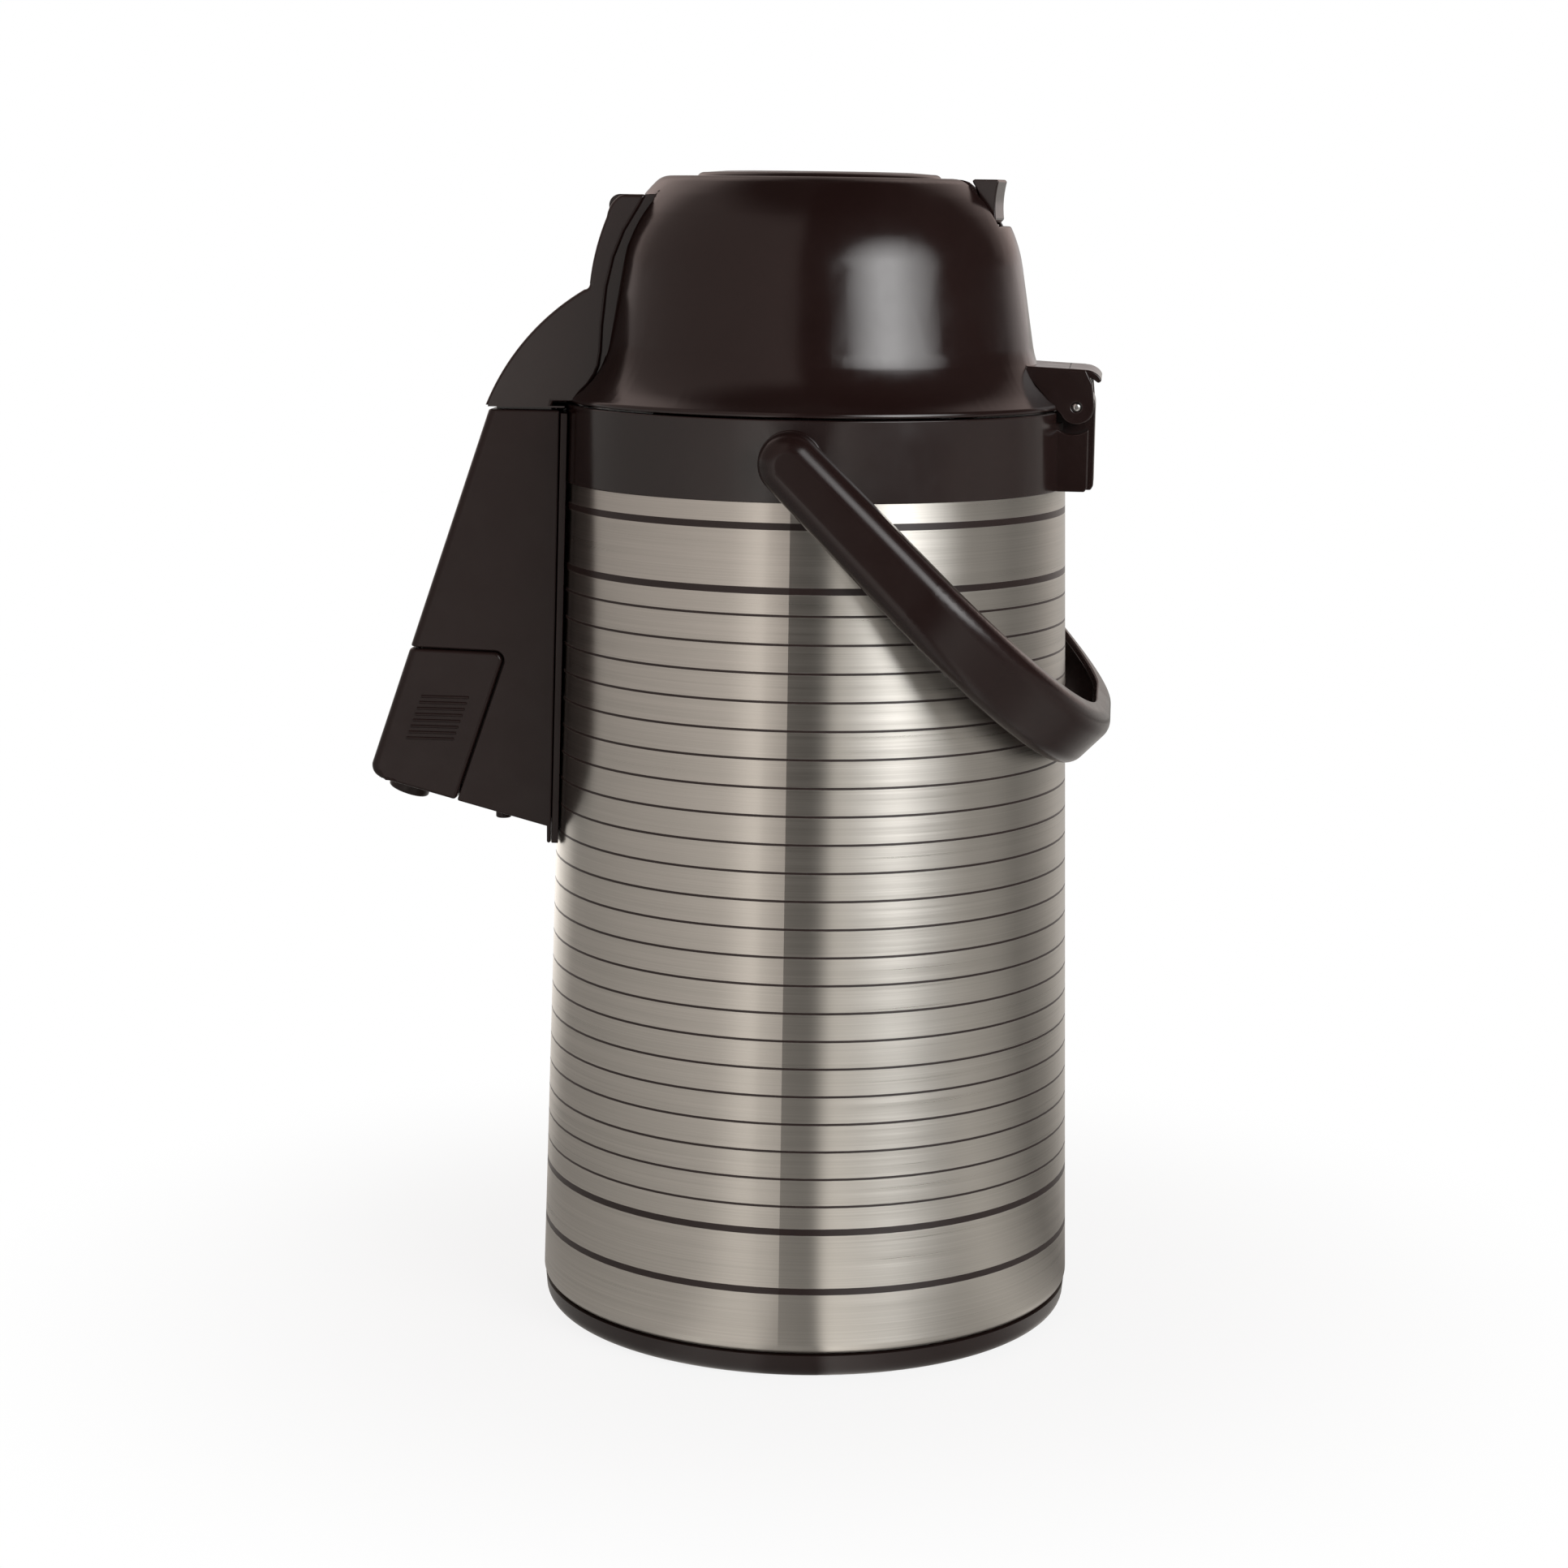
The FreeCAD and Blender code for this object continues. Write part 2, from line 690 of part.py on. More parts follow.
bail_round = rounded("bail_round", bail_trim, 6.0, on_bail_outside)
socket = rod("bail_socket", trunnion_radius + pin_play, 2 * trunnion_end + 0.8,
             (-(trunnion_end + 0.4), 0, 0), (1, 0, 0))
bail_done = cut("bail_cut", bail_round, socket)
hang = FreeCAD.Rotation(FreeCAD.Vector(-1, 0, 0), handle_hang.value)
place(bail_done, (0, 0, pivot_z), hang)
bail_done.setExpression("Placement.Rotation.Angle", handle_hang.text)
# the grip's lower lip is trimmed to lie along the steel
body_room = new_body("body_room")
spin(body_room, [
    (0, 150),
    (steel_radius(150) + 0.7, 150),
    (steel_radius(240) + 0.7, 240),
    (0, 240),
])
handle_done = cut("handle_cut", bail_done, body_room)
node(handle_done, "handle")


# Spout: outlines run forward and down from the lid seam
def front_face(z):
    return -(spout_top_front + (spout_top - sized(z)) * spout_lean)


def lower_edge(y):
    return 173.6 - (sized(y) + 137) * 0.2576


def on_front_edge(edge):
    # Long edges of the front face, on both sides.
    start = edge.Vertexes[0].Point
    stop = edge.Vertexes[-1].Point
    if abs(abs(start.x) - spout_half.value) > 0.01 or abs(start.x - stop.x) > 0.01:
        return False
    middle = (start + stop) * 0.5
    return middle.y < -115 and middle.z > 172 and abs(start.z - stop.z) > 0.5


housing = new_body("spout_moulding")
housing_pad = across(housing, [
    (-137, lower_edge(-137)),
    (-82.3, lower_edge(-82.3)),
    (-82.3, spout_foot),
    (-70, spout_foot),
    (-70, spout_top),
    (-spout_top_front, spout_top),
    (front_face(178.2), 178.2, 4.2),
], spout_half)
soften(housing, housing_pad, 3, on_front_edge)
# room for the nozzle cover, then the narrower tongue that carries it
across(housing, [
    (-160, 150),
    (-117.2, 150),
    (-111.2, 167.4),
    (-95.9, 212.1, 3.2),
    (-98.9, 215.6),
    (-160, 217.0),
], spout_half + 5, cut=True)
across(housing, [
    (front_face(178.5) + 3.4, 178.5),
    (-109.4, 171.4),
    (-94.1, 212.3),
    (-95.1, 217.6),
    (front_face(217.6) + 3.4, 217.6),
], spout_half - 3.1)
across(housing, [
    (-108.8, 169.2),
    (-70, 159.2),
    (-70, spout_top - spout_wall),
    (-(spout_top_front - spout_wall), spout_top - spout_wall),
    (front_face(218.6) + 2.3, 218.6),
    (-93.7, 217.8),
    (-93.4, 212.3),
], spout_half - spout_wall, cut=True)
across(housing, [
    (front_face(170) + 4.9, 170),
    (-112.2, 164.3),
    (-96.9, 211.8),
    (-96.9, 222),
    (front_face(222) + 4.9, 222),
], spout_half - 5, cut=True)
# screw bosses at the lower edge
for x in (15, -15):
    level(housing, 162.2, 178, circle=(x, -98.4, 4))
# the rear follows the body and its backplate
rear_low = steel_radius(spout_foot) + 2.65
rear_high = collar_top_radius + 3.1
spin(housing, [
    (0, 150),
    (rear_low + 0.1, 150),
    (rear_high, spout_top + 6),
    (0, spout_top + 6),
], cut=True)
hook_way = box("hook_way", (-9, -94.2, 280), (9, -70, 300))
screw_way = [rod("screw_way", 1.3, 30, (x, -98.4, 150), (0, 0, 1)) for x in (15, -15)]
housing_done = cut("spout_cut", housing, hook_way, *screw_way)
node(housing_done, "spout_housing")

# Curved backplate against the body
plate = new_body("backplate_turned")
spin(plate, [
    (rear_low - 2.25, spout_foot),
    (rear_low - 0.25, spout_foot),
    (rear_high - 0.25, spout_top - 0.8),
    (rear_high - 2.25, spout_top - 0.8),
])
plate_span = box("backplate_span", (-(spout_half - 0.2), -100, 100), (spout_half - 0.2, -40, 300))
plate_part = common("backplate_part", plate, plate_span)
plate_hole = rod("backplate_hole", pipe_radius + 1.25, 40, (0, -60, pipe_z), (0, -1, 0))
plate_done = cut("backplate_cut", plate_part, plate_hole)
node(plate_done, "spout_backplate")

# Screws from below
for number, x in enumerate((15, -15)):
    screw = new_body("spout_screw_%d" % (number + 1))
    spin(screw, [
        (0, 0.7),
        (1.1, 0.7),
        (1.1, 0),
        (2.0, 0, 0.6),
        (2.5, 0.5),
        (2.5, 2.4),
        (1.25, 2.4),
        (1.25, 13),
        (0, 14),
    ])
    place(screw, (x, -98.4, 159.8))
    node(screw, "spout_screw_%d" % (number + 1))

# Nozzle cover: front, sides and floor, open towards the tongue
cover = new_body("cover_moulding")
cover_pad = across(cover, [
    (-137, lower_edge(-137)),
    (-111.9, lower_edge(-111.9)),
    (-96.6, 212.2, 2.8),
    (-99.3, 215.1),
    (front_face(215.7), 215.7),
    (front_face(178.2), 178.2, 4.2),
], spout_half)
soften(cover, cover_pad, 3, on_front_edge)
across(cover, [
    (front_face(179.0) + 2.3, 179.0, 2),
    (-135.2, lower_edge(-135.2) + 2.2),
    (-90, lower_edge(-90) + 2.2),
    (-90, 225),
    (front_face(225) + 2.3, 225),
], spout_half - 2.4, cut=True)
lean = FreeCAD.Vector(0, -spout_lean.value, -1).normalize()
nozzle_y = -(pipe_corner + (pipe_z - 165) * spout_lean)
cover_hole = rod("cover_hole", nozzle_radius + 0.6, 40,
                 (0, nozzle_y + 10 * spout_lean, 175), (0, lean.y, lean.z))
cover_done = cut("cover_cut", cover, cover_hole)
node(cover_done, "nozzle_cover")

# Pouring pipe: level through the collar, then down the spout
pipe_turn = pipe_bend * 0.7173
lean_y = spout_lean * 0.9472
pipe = new_body("spout_pipe")
tube_along(pipe, [
    (-29, pipe_z),
    (-(pipe_corner - pipe_turn), pipe_z, pipe_bend),
    (-(pipe_corner + pipe_turn * lean_y), pipe_z - pipe_turn * 0.9472),
    (nozzle_y + 4 * spout_lean, 169),
], pipe_radius, pipe_bore)
node(pipe, "spout_pipe")

# Nozzle tip on the end of the pipe
tip = new_body("nozzle_tip")
spin(tip, [
    (pipe_bore, 0),
    (nozzle_radius - 0.9, 0, 0.9),
    (nozzle_radius, 0.9),
    (nozzle_radius, 8.6),
    (nozzle_radius - 1.2, 9.6),
    (pipe_radius + 0.02, 9.6),
    (pipe_radius + 0.02, 3.9),
    (pipe_bore, 3.9),
])
place(tip, (0, nozzle_y, 165), FreeCAD.Rotation(FreeCAD.Vector(0, 0, -1), lean))
node(tip, "nozzle_tip")

# Elbow over the mouth, its seal and the dip tube
elbow = new_body("elbow_moulding")
spin(elbow, [
    (0, seat_height),
    (7.5, seat_height),
    (7.5, 283, 1.5),
    (6, 284.5),
    (0, 284.5),
])
elbow_arm = rod("elbow_arm", 6.0, 33, (0, 0, pipe_z), (0, -1, 0))
elbow_body = fuse("elbow_body", elbow, elbow_arm)
elbow_bore = rod("elbow_bore", pipe_bore, 44, (0, 4, pipe_z), (0, -1, 0))
elbow_socket = rod("elbow_socket", pipe_radius + 0.02, 10, (0, -29, pipe_z), (0, -1, 0))
elbow_foot = rod("elbow_foot", pipe_radius + 0.02, 7, (0, 0, seat_height - 1), (0, 0, 1))
elbow_rise = rod("elbow_rise", pipe_bore - 0.4, 3.6, (0, 0, seat_height + 5), (0, 0, 1))
elbow_done = cut("elbow_cut", elbow_body, elbow_bore, elbow_socket, elbow_foot, elbow_rise)
node(elbow_done, "pipe_elbow")

seal = new_body("elbow_seal")
spin(seal, [
    (pipe_radius + 0.05, 0),
    (pipe_radius + 1.2, 0),
    (pipe_radius + 1.2, 5.4),
    (pipe_radius + 0.05, 5.4),
])
place(seal, (0, -33.6, pipe_z), FreeCAD.Rotation(FreeCAD.Vector(0, 0, 1), FreeCAD.Vector(0, -1, 0)))
node(seal, "elbow_seal")

dip = new_body("dip_tube")
spin(dip, [
    (pipe_bore, 40),
    (pipe_radius, 40),
    (pipe_radius, seat_height + 6),
    (pipe_bore, seat_height + 6),
])
node(dip, "dip_tube")

foot = new_body("foot_moulding")
spin(foot, [
    (pipe_radius + 0.02, 37),
    (pipe_radius + 2.2, 37),
    (pipe_radius + 2.2, 50),
    (pipe_radius + 1.2, 54),
    (pipe_radius + 0.02, 54),
])
foot_slot = box("foot_slot", (-1.5, -12, 36), (1.5, 12, 39.5))
foot_slot_side = box("foot_slot_side", (-12, -1.5, 36), (12, 1.5, 39.5))
foot_done = cut("foot_cut", foot, foot_slot, foot_slot_side)
node(foot_done, "dip_tube_foot")

# Lid dome: flared skirt, steep side, rounded shoulder, top rim and the guide of the push plate
dome = new_body("dome_moulding")
spin(dome, [
    (lid_rim - 2.4, lid_low),
    (lid_rim, lid_low),
    (lid_rim - 0.2, lid_low + 1.4, -25.95),
    (68.25, 313.0),
    (64.4, 337.4, 44.8),
    (51.2, 362.7, 6.4),
    (46.7, lid_top),
    (plate_bore + 0.8, lid_top, 0.8),
    (plate_bore, lid_top - 0.8),
    (plate_bore, ring_low - 5.5),
    (plate_bore + 2, ring_low - 5.5),
    (plate_bore + 4.3, ring_low - 2.7),
    (plate_bore + 4.3, ring_low - 0.7),
    (plate_bore + 2, ring_low - 0.7),
    (plate_bore + 2, lid_top - lid_wall),
    (46.7, lid_top - lid_wall, -4.2),
    (49.67, 361.11, -42.6),
    (62.23, 337.06),
    (66.08, 312.66, 28.15),
])
# bosses for the four lid screws
for x in (boss_spot, -boss_spot):
    for y in (boss_spot, -boss_spot):
        level(dome, 296.8, 321, circle=(x, y, 4.2))
nose_way = box("nose_way", (-(spout_half + 0.25), -95, 290), (spout_half + 0.25, -43.6, nose_top))
hinge_way = box("hinge_way", (-(hinge_half + 0.5), 58, 290), (hinge_half + 0.5, 95, 306.8))
lock_way = box("lock_way", (-notch_half, 43.4, notch_floor), (notch_half, 75, 372))
finger_way = box("finger_way", (-14, 30, ring_low - 0.4), (14, 46, ring_low + 2.9))
dome_open = cut("dome_open", dome, nose_way, hinge_way, lock_way, finger_way)
# hinge lug: two cheeks under a roof with a turned-down stop lip
lug = new_body("hinge_lug")
across(lug, [
    (66.9, 307.9),
    (74.8, 295.9),
    (77.6, 293.3, cheek_radius),
    (hinge_y + cheek_radius, hinge_z),
    (87.4, 302.6),
    (85.2, 307.0),
], hinge_half)
across(lug, [
    (84.4, 304.9),
    (87.1, 304.4),
    (89.2, 302.9),
    (90.2, 303.7, 4),
    (88.2, 306.1, 6),
    (85.2, 307.0),
    (80.0, 307.3),
    (80.0, 305.2),
], hinge_half - 1.5)
across(lug, [
    (63.0, 309.4),
    (64.2, 306.6),
    (72.6, 295.7),
    (75.4, 296.0),
    (67.8, 307.3),
    (65.4, 309.4),
], hinge_half)
across(lug, [
    (75.2, 288),
    (100, 288),
    (100, 302.6),
    (89.2, 302.6),
    (87.1, 304.2),
    (84.4, 304.7),
    (70.2, 305.6),
    (75.2, 297.0),
], knuckle_half + 0.5, cut=True)
lug_bore = rod("lug_bore", pin_radius + pin_play, 60, (-30, hinge_y, hinge_z), (1, 0, 0))
lug_open = cut("lug_open", lug, lug_bore)
dome_inside = new_body("dome_inside")
spin(dome_inside, [
    (0, 311.0),
    (67.0, 311.0),
    (64.0, 330),
    (0, 330),
])
lug_trim = cut("lug_trim", lug_open, dome_inside)
dome_joined = fuse("dome_joined", dome_open, lug_trim)
screw_bores = [rod("lid_screw_bore", 1.55, 16, (x, y, 296), (0, 0, 1))
               for x in (boss_spot, -boss_spot) for y in (boss_spot, -boss_spot)]
dome_done = cut("dome_cut", dome_joined, *screw_bores)
node(dome_done, "lid_dome")

# Lid nose: brow above the spout, open to the rear and below
nose = new_body("nose_moulding")
across(nose, [
    (-101.6, lid_low - 1.2),
    (-80.7, lid_low - 1.2),
    (-80.2, lid_low + 0.2),
    (-71, lid_low + 0.2),
    (-61, 311),
    (-57, 338),
    (-46.5, nose_top),
    (-58.6, nose_top, 9),
    (-63.4, 351.7, 75),
    (-68.7, 331.4, -1.8),
    (-70.4, 329.3, 76),
], spout_half)
across(nose, [
    (-98.9, 290),
    (-40, 290),
    (-40, nose_top - 2.2),
    (-57.6, nose_top - 2.2, 6.8),
    (-61.3, 350.9, 72.8),
    (-66.5, 330.9),
    (-69.3, 326.9, 73.8),
    (-98.9, 294.6),
], spout_half - spout_wall, cut=True)
for low, high in ((lever_half + 0.8, lever_half + 3), (-(lever_half + 3), -(lever_half + 0.8))):
    beside(nose, low, high, [
        (-77.5, 316.5),
        (-65, 316.5),
        (-65, 333),
        (-67.4, 333),
        (-69.6, 328.4),
        (-77.5, 323.4),
    ])
lever_way = box("lever_way", (-(lever_half + 0.5), -90, 331.0), (lever_half + 0.5, -57.2, 370))
arm_way = box("arm_way", (-8.6, -70.9, 322), (8.6, -57.2, 332))
latch_bore = rod("latch_bore", pin_radius + 0.01, 40, (-20, -latch_y, latch_z), (1, 0, 0))
nose_done = cut("nose_cut", nose, lever_way, arm_way, latch_bore)
node(nose_done, "lid_nose")

# Latch lever: finger plate with a lip, hub on the latch pin, arm with a hook below the spout's top wall
lever = new_body("lever_moulding")
across(lever, [
    (-68.7, 331.7),
    (-66.5, 331.7, -73),
    (-61.3, 350.9, -6.8),
    (-57.9, nose_top - 2.2),
    (-57.9, nose_top + 0.1),
    (-60.9, nose_top + 0.1, 3.5),
    (-64.3, 355.2),
    (-64.2, 353.2),
    (-63.7, 350.6, 75),
], lever_half)
across(lever, [
    (-96.6, 286.8),
    (-95.4, 285.2),
    (-90.6, 285.2),
    (-90.6, 300.2),
    (-70.0, 318.04, 3.5),
    (-67.1, 320.7),
    (-66.4, 333.2),
    (-68.3, 333.2),
    (-69.2, 324.75, 3.5),
    (-73.9, 322.3),
    (-93.2, 302.4),
    (-93.2, 288.8),
    (-96.6, 288.8),
], 8)
lever_bore = rod("lever_bore", pin_radius + pin_play, 60, (-30, -latch_y, latch_z), (1, 0, 0))
lever_done = cut("lever_cut", lever, lever_bore)
node(lever_done, "latch_lever")

latch_pin = rod("latch_pin", pin_radius, 2 * lever_half + 6, (-(lever_half + 3), -latch_y, latch_z), (1, 0, 0))
node(latch_pin, "latch_pin")


def coil(name, mean, wire, pitch, height):
    # A wire wound round the vertical axis from the height of the origin.
    body = new_body(name)
    drawing = sketch(body, "XZ", circles=[(mean, 0, wire)])
    feature = body.newObject("PartDesign::AdditiveHelix", name + "_wire")
    feature.Profile = drawing
    feature.ReferenceAxis = (drawing, ["V_Axis"])
    feature.Mode = 0
    feature.Pitch = pitch
    feature.Height = height
    doc.recompute()
    return body


latch_spring = coil("latch_spring", 2.6, 0.45, 1.1, 5.0)
place(latch_spring, (9.3, -latch_y, latch_z),
      FreeCAD.Rotation(FreeCAD.Vector(0, 0, 1), FreeCAD.Vector(1, 0, 0)))
node(latch_spring, "latch_spring")

# Lid base: floor of the lid with the gasket groove and the bellows seat
floor = new_body("base_moulding")
spin(floor, [
    (2.3, lid_low),
    (funnel_radius, lid_low),
    (funnel_radius, lid_low - 1.8),
    (funnel_radius + 3, lid_low - 1.8),
    (funnel_radius + 3, lid_low + 0.8),
    (funnel_radius + 8, lid_low + 0.8),
    (funnel_radius + 8, lid_low - 1.8),
    (funnel_radius + 11, lid_low - 1.8),
    (funnel_radius + 11, lid_low),
    (75.6, lid_low),
    (72.8, lid_low + 2.3),
    (37.6, lid_low + 2.3),
    (37.6, lid_low + 5.6),
    (35, lid_low + 5.6),
    (35, lid_low + 2.3),
    (2.3, lid_low + 2.3),
])
vents = []
for number in range(6):
    angle = math.radians(60 * number)
    vents.append(rod("vent", 1.8, 10, (6.5 * math.cos(angle), 6.5 * math.sin(angle), 290), (0, 0, 1)))
base_bores = [rod("base_bore", 1.7, 20, (x, y, 285), (0, 0, 1))
              for x in (boss_spot, -boss_spot) for y in (boss_spot, -boss_spot)]
front_room = box("front_room", (-(spout_half + 0.4), -90, 290), (spout_half + 0.4, -62, 300))
hinge_room = box("hinge_room", (-(hinge_half + 0.8), 70.6, 290), (hinge_half + 0.8, 90, 300))
floor_done = cut("lid_base_cut", floor, front_room, hinge_room, *vents, *base_bores)
node(floor_done, "lid_base")

gasket = new_body("lid_gasket")
spin(gasket, [
    (funnel_radius + 3.6, deck_top + 0.2),
    (funnel_radius + 7.4, deck_top + 0.2),
    (funnel_radius + 8, lid_low - 1.6),
    (funnel_radius + 8, lid_low + 0.8),
    (funnel_radius + 3, lid_low + 0.8),
    (funnel_radius + 3, lid_low - 1.6),
])
node(gasket, "lid_gasket")

number = 0
for x in (boss_spot, -boss_spot):
    for y in (boss_spot, -boss_spot):
        number = number + 1
        screw = new_body("lid_screw_%d" % number)
        spin(screw, [
            (0, 0.7),
            (1.1, 0.7),
            (1.1, 0),
            (2.4, 0, 0.7),
            (3.0, 0.6),
            (3.0, 2.0),
            (1.5, 2.0),
            (1.5, 14.5),
            (0, 15.6),
        ])
        place(screw, (x, y, lid_low - 2.0))
        node(screw, "lid_screw_%d" % number)

outlet = new_body("outlet_valve")
spin(outlet, [
    (0, lid_low - 1.9),
    (10.5, lid_low - 1.5),
    (10.5, lid_low - 0.1),
    (2.2, lid_low - 0.1),
    (2.2, lid_low + 2.4),
    (3.2, lid_low + 2.4),
    (2.4, lid_low + 4.4),
    (0, lid_low + 4.8),
])
node(outlet, "outlet_valve")

# Bellows between the lid base and its cap
bellows = new_body("bellows")
seat = lid_low + 2.3
fold = 6.4
skin = [(34.6, seat), (34.6, seat + 2.3), (bellows_neck, seat + 3.5)]
lining = [(bellows_neck - 1.4, seat + 3.5), (bellows_neck - 1.4, seat)]
for number in range(6):
    crest = seat + 3.5 + fold * number + fold / 2
    valley = seat + 3.5 + fold * (number + 1)
    skin.append((bellows_radius, crest))
    skin.append((bellows_neck, valley))
    lining.insert(0, (bellows_radius - 2.2, crest))
    lining.insert(0, (bellows_neck - 1.4, valley))
skin += [(32.5, seat + 42.6), (32.5, seat + 43.9), (bellows_neck - 1.4, seat + 43.9)]
spin(bellows, skin + lining)
node(bellows, "bellows")

cap = new_body("bellows_cap")
cap_low = seat + 43.9
spin(cap, [
    (4.1, cap_low),
    (33, cap_low),
    (33, cap_low + 6),
    (30, cap_low + 6),
    (30, cap_low + 2.4),
    (4.1, cap_low + 2.4),
])
node(cap, "bellows_cap")

inlet = new_body("inlet_valve")
spin(inlet, [
    (0, cap_low - 0.6),
    (4.0, cap_low - 0.6),
    (4.0, cap_low + 2.4),
    (8.0, cap_low + 2.4),
    (8.0, cap_low + 3.4),
    (0, cap_low + 4.2),
])
node(inlet, "inlet_valve")

spring = coil("return_spring", 14.0, 0.9, 6.6, 40.0)
place(spring, (0, 0, seat + 1.3))
node(spring, "return_spring")

# Push plate: crowned disc, skirt down to the bellows cap and a notched stop flange
plate_low = cap_low + 6
push = new_body("push_moulding")
spin(push, [
    (31, plate_low),
    (34.2, plate_low),
    (34.2, plate_low - 2.1),
    (plate_radius - 0.1, plate_low - 2.1),
    (plate_radius - 0.1, plate_low + 1.8),
    (34, plate_low + 1.8),
    (34, plate_top - 4.6),
    (plate_radius, plate_top - 4.6),
    (plate_radius, plate_top - 2.6, 2.2),
    (plate_radius - 2.4, plate_top - 0.6),
    (plate_radius - 9, plate_top - 0.1),
    (plate_radius - 14, plate_top),
    (0, plate_top),
    (0, plate_top - 3.4),
    (31, plate_top - 3.4),
])
flange_notch = rod("flange_notch", 6.2, 6.5, (7.63, 39.27, plate_low - 3), (0, 0, 1))
push_done = cut("push_cut", push, flange_notch)
node(push_done, "push_plate")

# Lock ring: turns round the guide, its tab stands in the notch, its finger blocks the stop flange
lock = new_body("lock_moulding")
ring_bore = plate_bore + 2.5
spin(lock, [
    (ring_bore, ring_low),
    (50, ring_low),
    (50, ring_low + 2.4),
    (ring_bore, ring_low + 2.4),
])
level(lock, ring_low, notch_floor - 0.4, [
    (31.8, 47.1, 56.83),
    (-31.8, 47.1),
    (-23.8, 35.2, -42.49),
    (23.8, 35.2),
])
level(lock, ring_low, ring_low + 2.4, [
    (-3.2, 35.3),
    (3.2, 35.3),
    (3.2, 45),
    (-3.2, 45),
])
across(lock, [
    (51.2, 348),
    (56.8, 348),
    (56.8, 350.8),
    (58.4, 352.4, -30),
    (59.0, lid_top - 0.8, 0.9),
    (58.2, lid_top),
    (51.5, lid_top, 0.9),
    (50.7, lid_top - 0.8, -14),
], 6)
place(lock, (0, 0, 0), FreeCAD.Rotation(FreeCAD.Vector(0, 0, 1), -11))
node(lock, "lock_ring")

doc.recompute()
for thing in doc.Objects:
    for word in ("Invalid", "Error"):
        if word in thing.State:
            raise SystemExit("not built: " + thing.Label + " " + str(thing.State))
for thing in nodes:
    shape = thing.Shape
    if shape.isNull() or not shape.isValid() or len(shape.Solids) != 1:
        raise SystemExit("not one valid solid: " + thing.Label + " " + str(len(shape.Solids)))
    shape.Solids[0].exportStep("parts/" + thing.Label + ".step")
    print(thing.Label, round(shape.Volume / 1000, 2))
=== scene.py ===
import json
import math

import bmesh
import bpy
from mathutils import Matrix, Vector
from mathutils.bvhtree import BVHTree


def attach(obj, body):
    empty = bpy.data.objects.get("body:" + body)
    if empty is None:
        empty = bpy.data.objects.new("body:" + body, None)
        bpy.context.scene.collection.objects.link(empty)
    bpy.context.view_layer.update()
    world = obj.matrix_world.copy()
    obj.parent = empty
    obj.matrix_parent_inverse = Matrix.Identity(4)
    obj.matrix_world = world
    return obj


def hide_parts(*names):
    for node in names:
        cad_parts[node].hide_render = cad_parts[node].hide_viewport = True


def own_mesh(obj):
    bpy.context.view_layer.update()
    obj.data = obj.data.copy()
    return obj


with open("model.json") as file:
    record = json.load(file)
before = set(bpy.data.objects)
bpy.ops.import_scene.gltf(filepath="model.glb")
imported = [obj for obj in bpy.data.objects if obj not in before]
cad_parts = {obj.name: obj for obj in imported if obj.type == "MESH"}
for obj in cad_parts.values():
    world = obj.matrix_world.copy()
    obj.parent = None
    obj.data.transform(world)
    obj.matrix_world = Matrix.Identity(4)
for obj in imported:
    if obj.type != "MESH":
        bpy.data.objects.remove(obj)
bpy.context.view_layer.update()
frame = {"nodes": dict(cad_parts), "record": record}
nodes = frame["nodes"]
slotOf = {row["node"]: row["material_slot"] for row in frame["record"]["subparts"]}
bodyOf = {}
for bodyName, members in frame["record"]["behaviour"]["bodies"].items():
    bodyOf.update((member, bodyName) for member in members)
scene = bpy.context.scene
scene.view_settings.view_transform = "Standard"
print("frame loaded:", len(nodes), "parts")


# helpers for objects
def addObject(name, data):
    made = bpy.data.objects.new(name, data)
    scene.collection.objects.link(made)
    return made


def meshOf(shape, name):
    mesh = bpy.data.meshes.new(name)
    shape.to_mesh(mesh)
    return mesh


def heading(bearing, rise):
    # way outward from the pot's axis, both angles in degrees
    turn, lift = math.radians(bearing), math.radians(rise)
    level = math.cos(lift)
    return Vector((math.cos(turn) * level, math.sin(turn) * level, math.sin(lift)))


# camera
photoCamera = {
    "place": (1.02938, 0.09549, 0.3587),  # metres, in the pot's own frame
    "bearing": 5.3,  # degrees round the pot from its side
    "pitch": 10.309,  # degrees below level
    "roll": 0.783,
    "focal": 74.29,
    "sensor": 36.0,
    "shift": (-0.01746, 0.0005),
    "reach": 50.0,  # farthest distance drawn
}


def addCamera(spec):
    ahead = -heading(spec["bearing"], spec["pitch"])
    roll = math.radians(spec["roll"])
    right = ahead.cross(Vector((0, 0, 1))).normalized()
    up = right.cross(ahead)
    rolledRight = right * math.cos(roll) + up * math.sin(roll)
    rolledUp = up * math.cos(roll) - right * math.sin(roll)
    data = bpy.data.cameras.new("photoCamera")
    data.lens = spec["focal"]
    data.sensor_width = spec["sensor"]
    data.shift_x, data.shift_y = spec["shift"]
    data.clip_end = spec["reach"]
    camera = addObject("photoCamera", data)
    turn = Matrix((rolledRight, rolledUp, -ahead)).transposed()
    camera.matrix_world = Matrix.Translation(spec["place"]) @ turn.to_4x4()
    scene.camera = camera


addCamera(photoCamera)
print("camera placed")


# node helpers
def feed(tree, node, values):
    # an output is linked, a number or a colour is set on the socket itself
    for key, value in values.items():
        socket = node.inputs[key]
        if isinstance(value, bpy.types.NodeSocket):
            tree.links.new(value, socket)
        elif socket.type == "RGBA":
            socket.default_value = (*value, 1.0)
        else:
            socket.default_value = value


def addNode(tree, kind, values=None, **settings):
    made = tree.nodes.new(kind)
    for key, value in settings.items():
        setattr(made, key, value)
    feed(tree, made, values or {})
    return made


def newMaterial(name):
    material = bpy.data.materials.new(name)
    material.use_nodes = True
    tree = material.node_tree
    return material, tree, tree.nodes["Principled BSDF"]


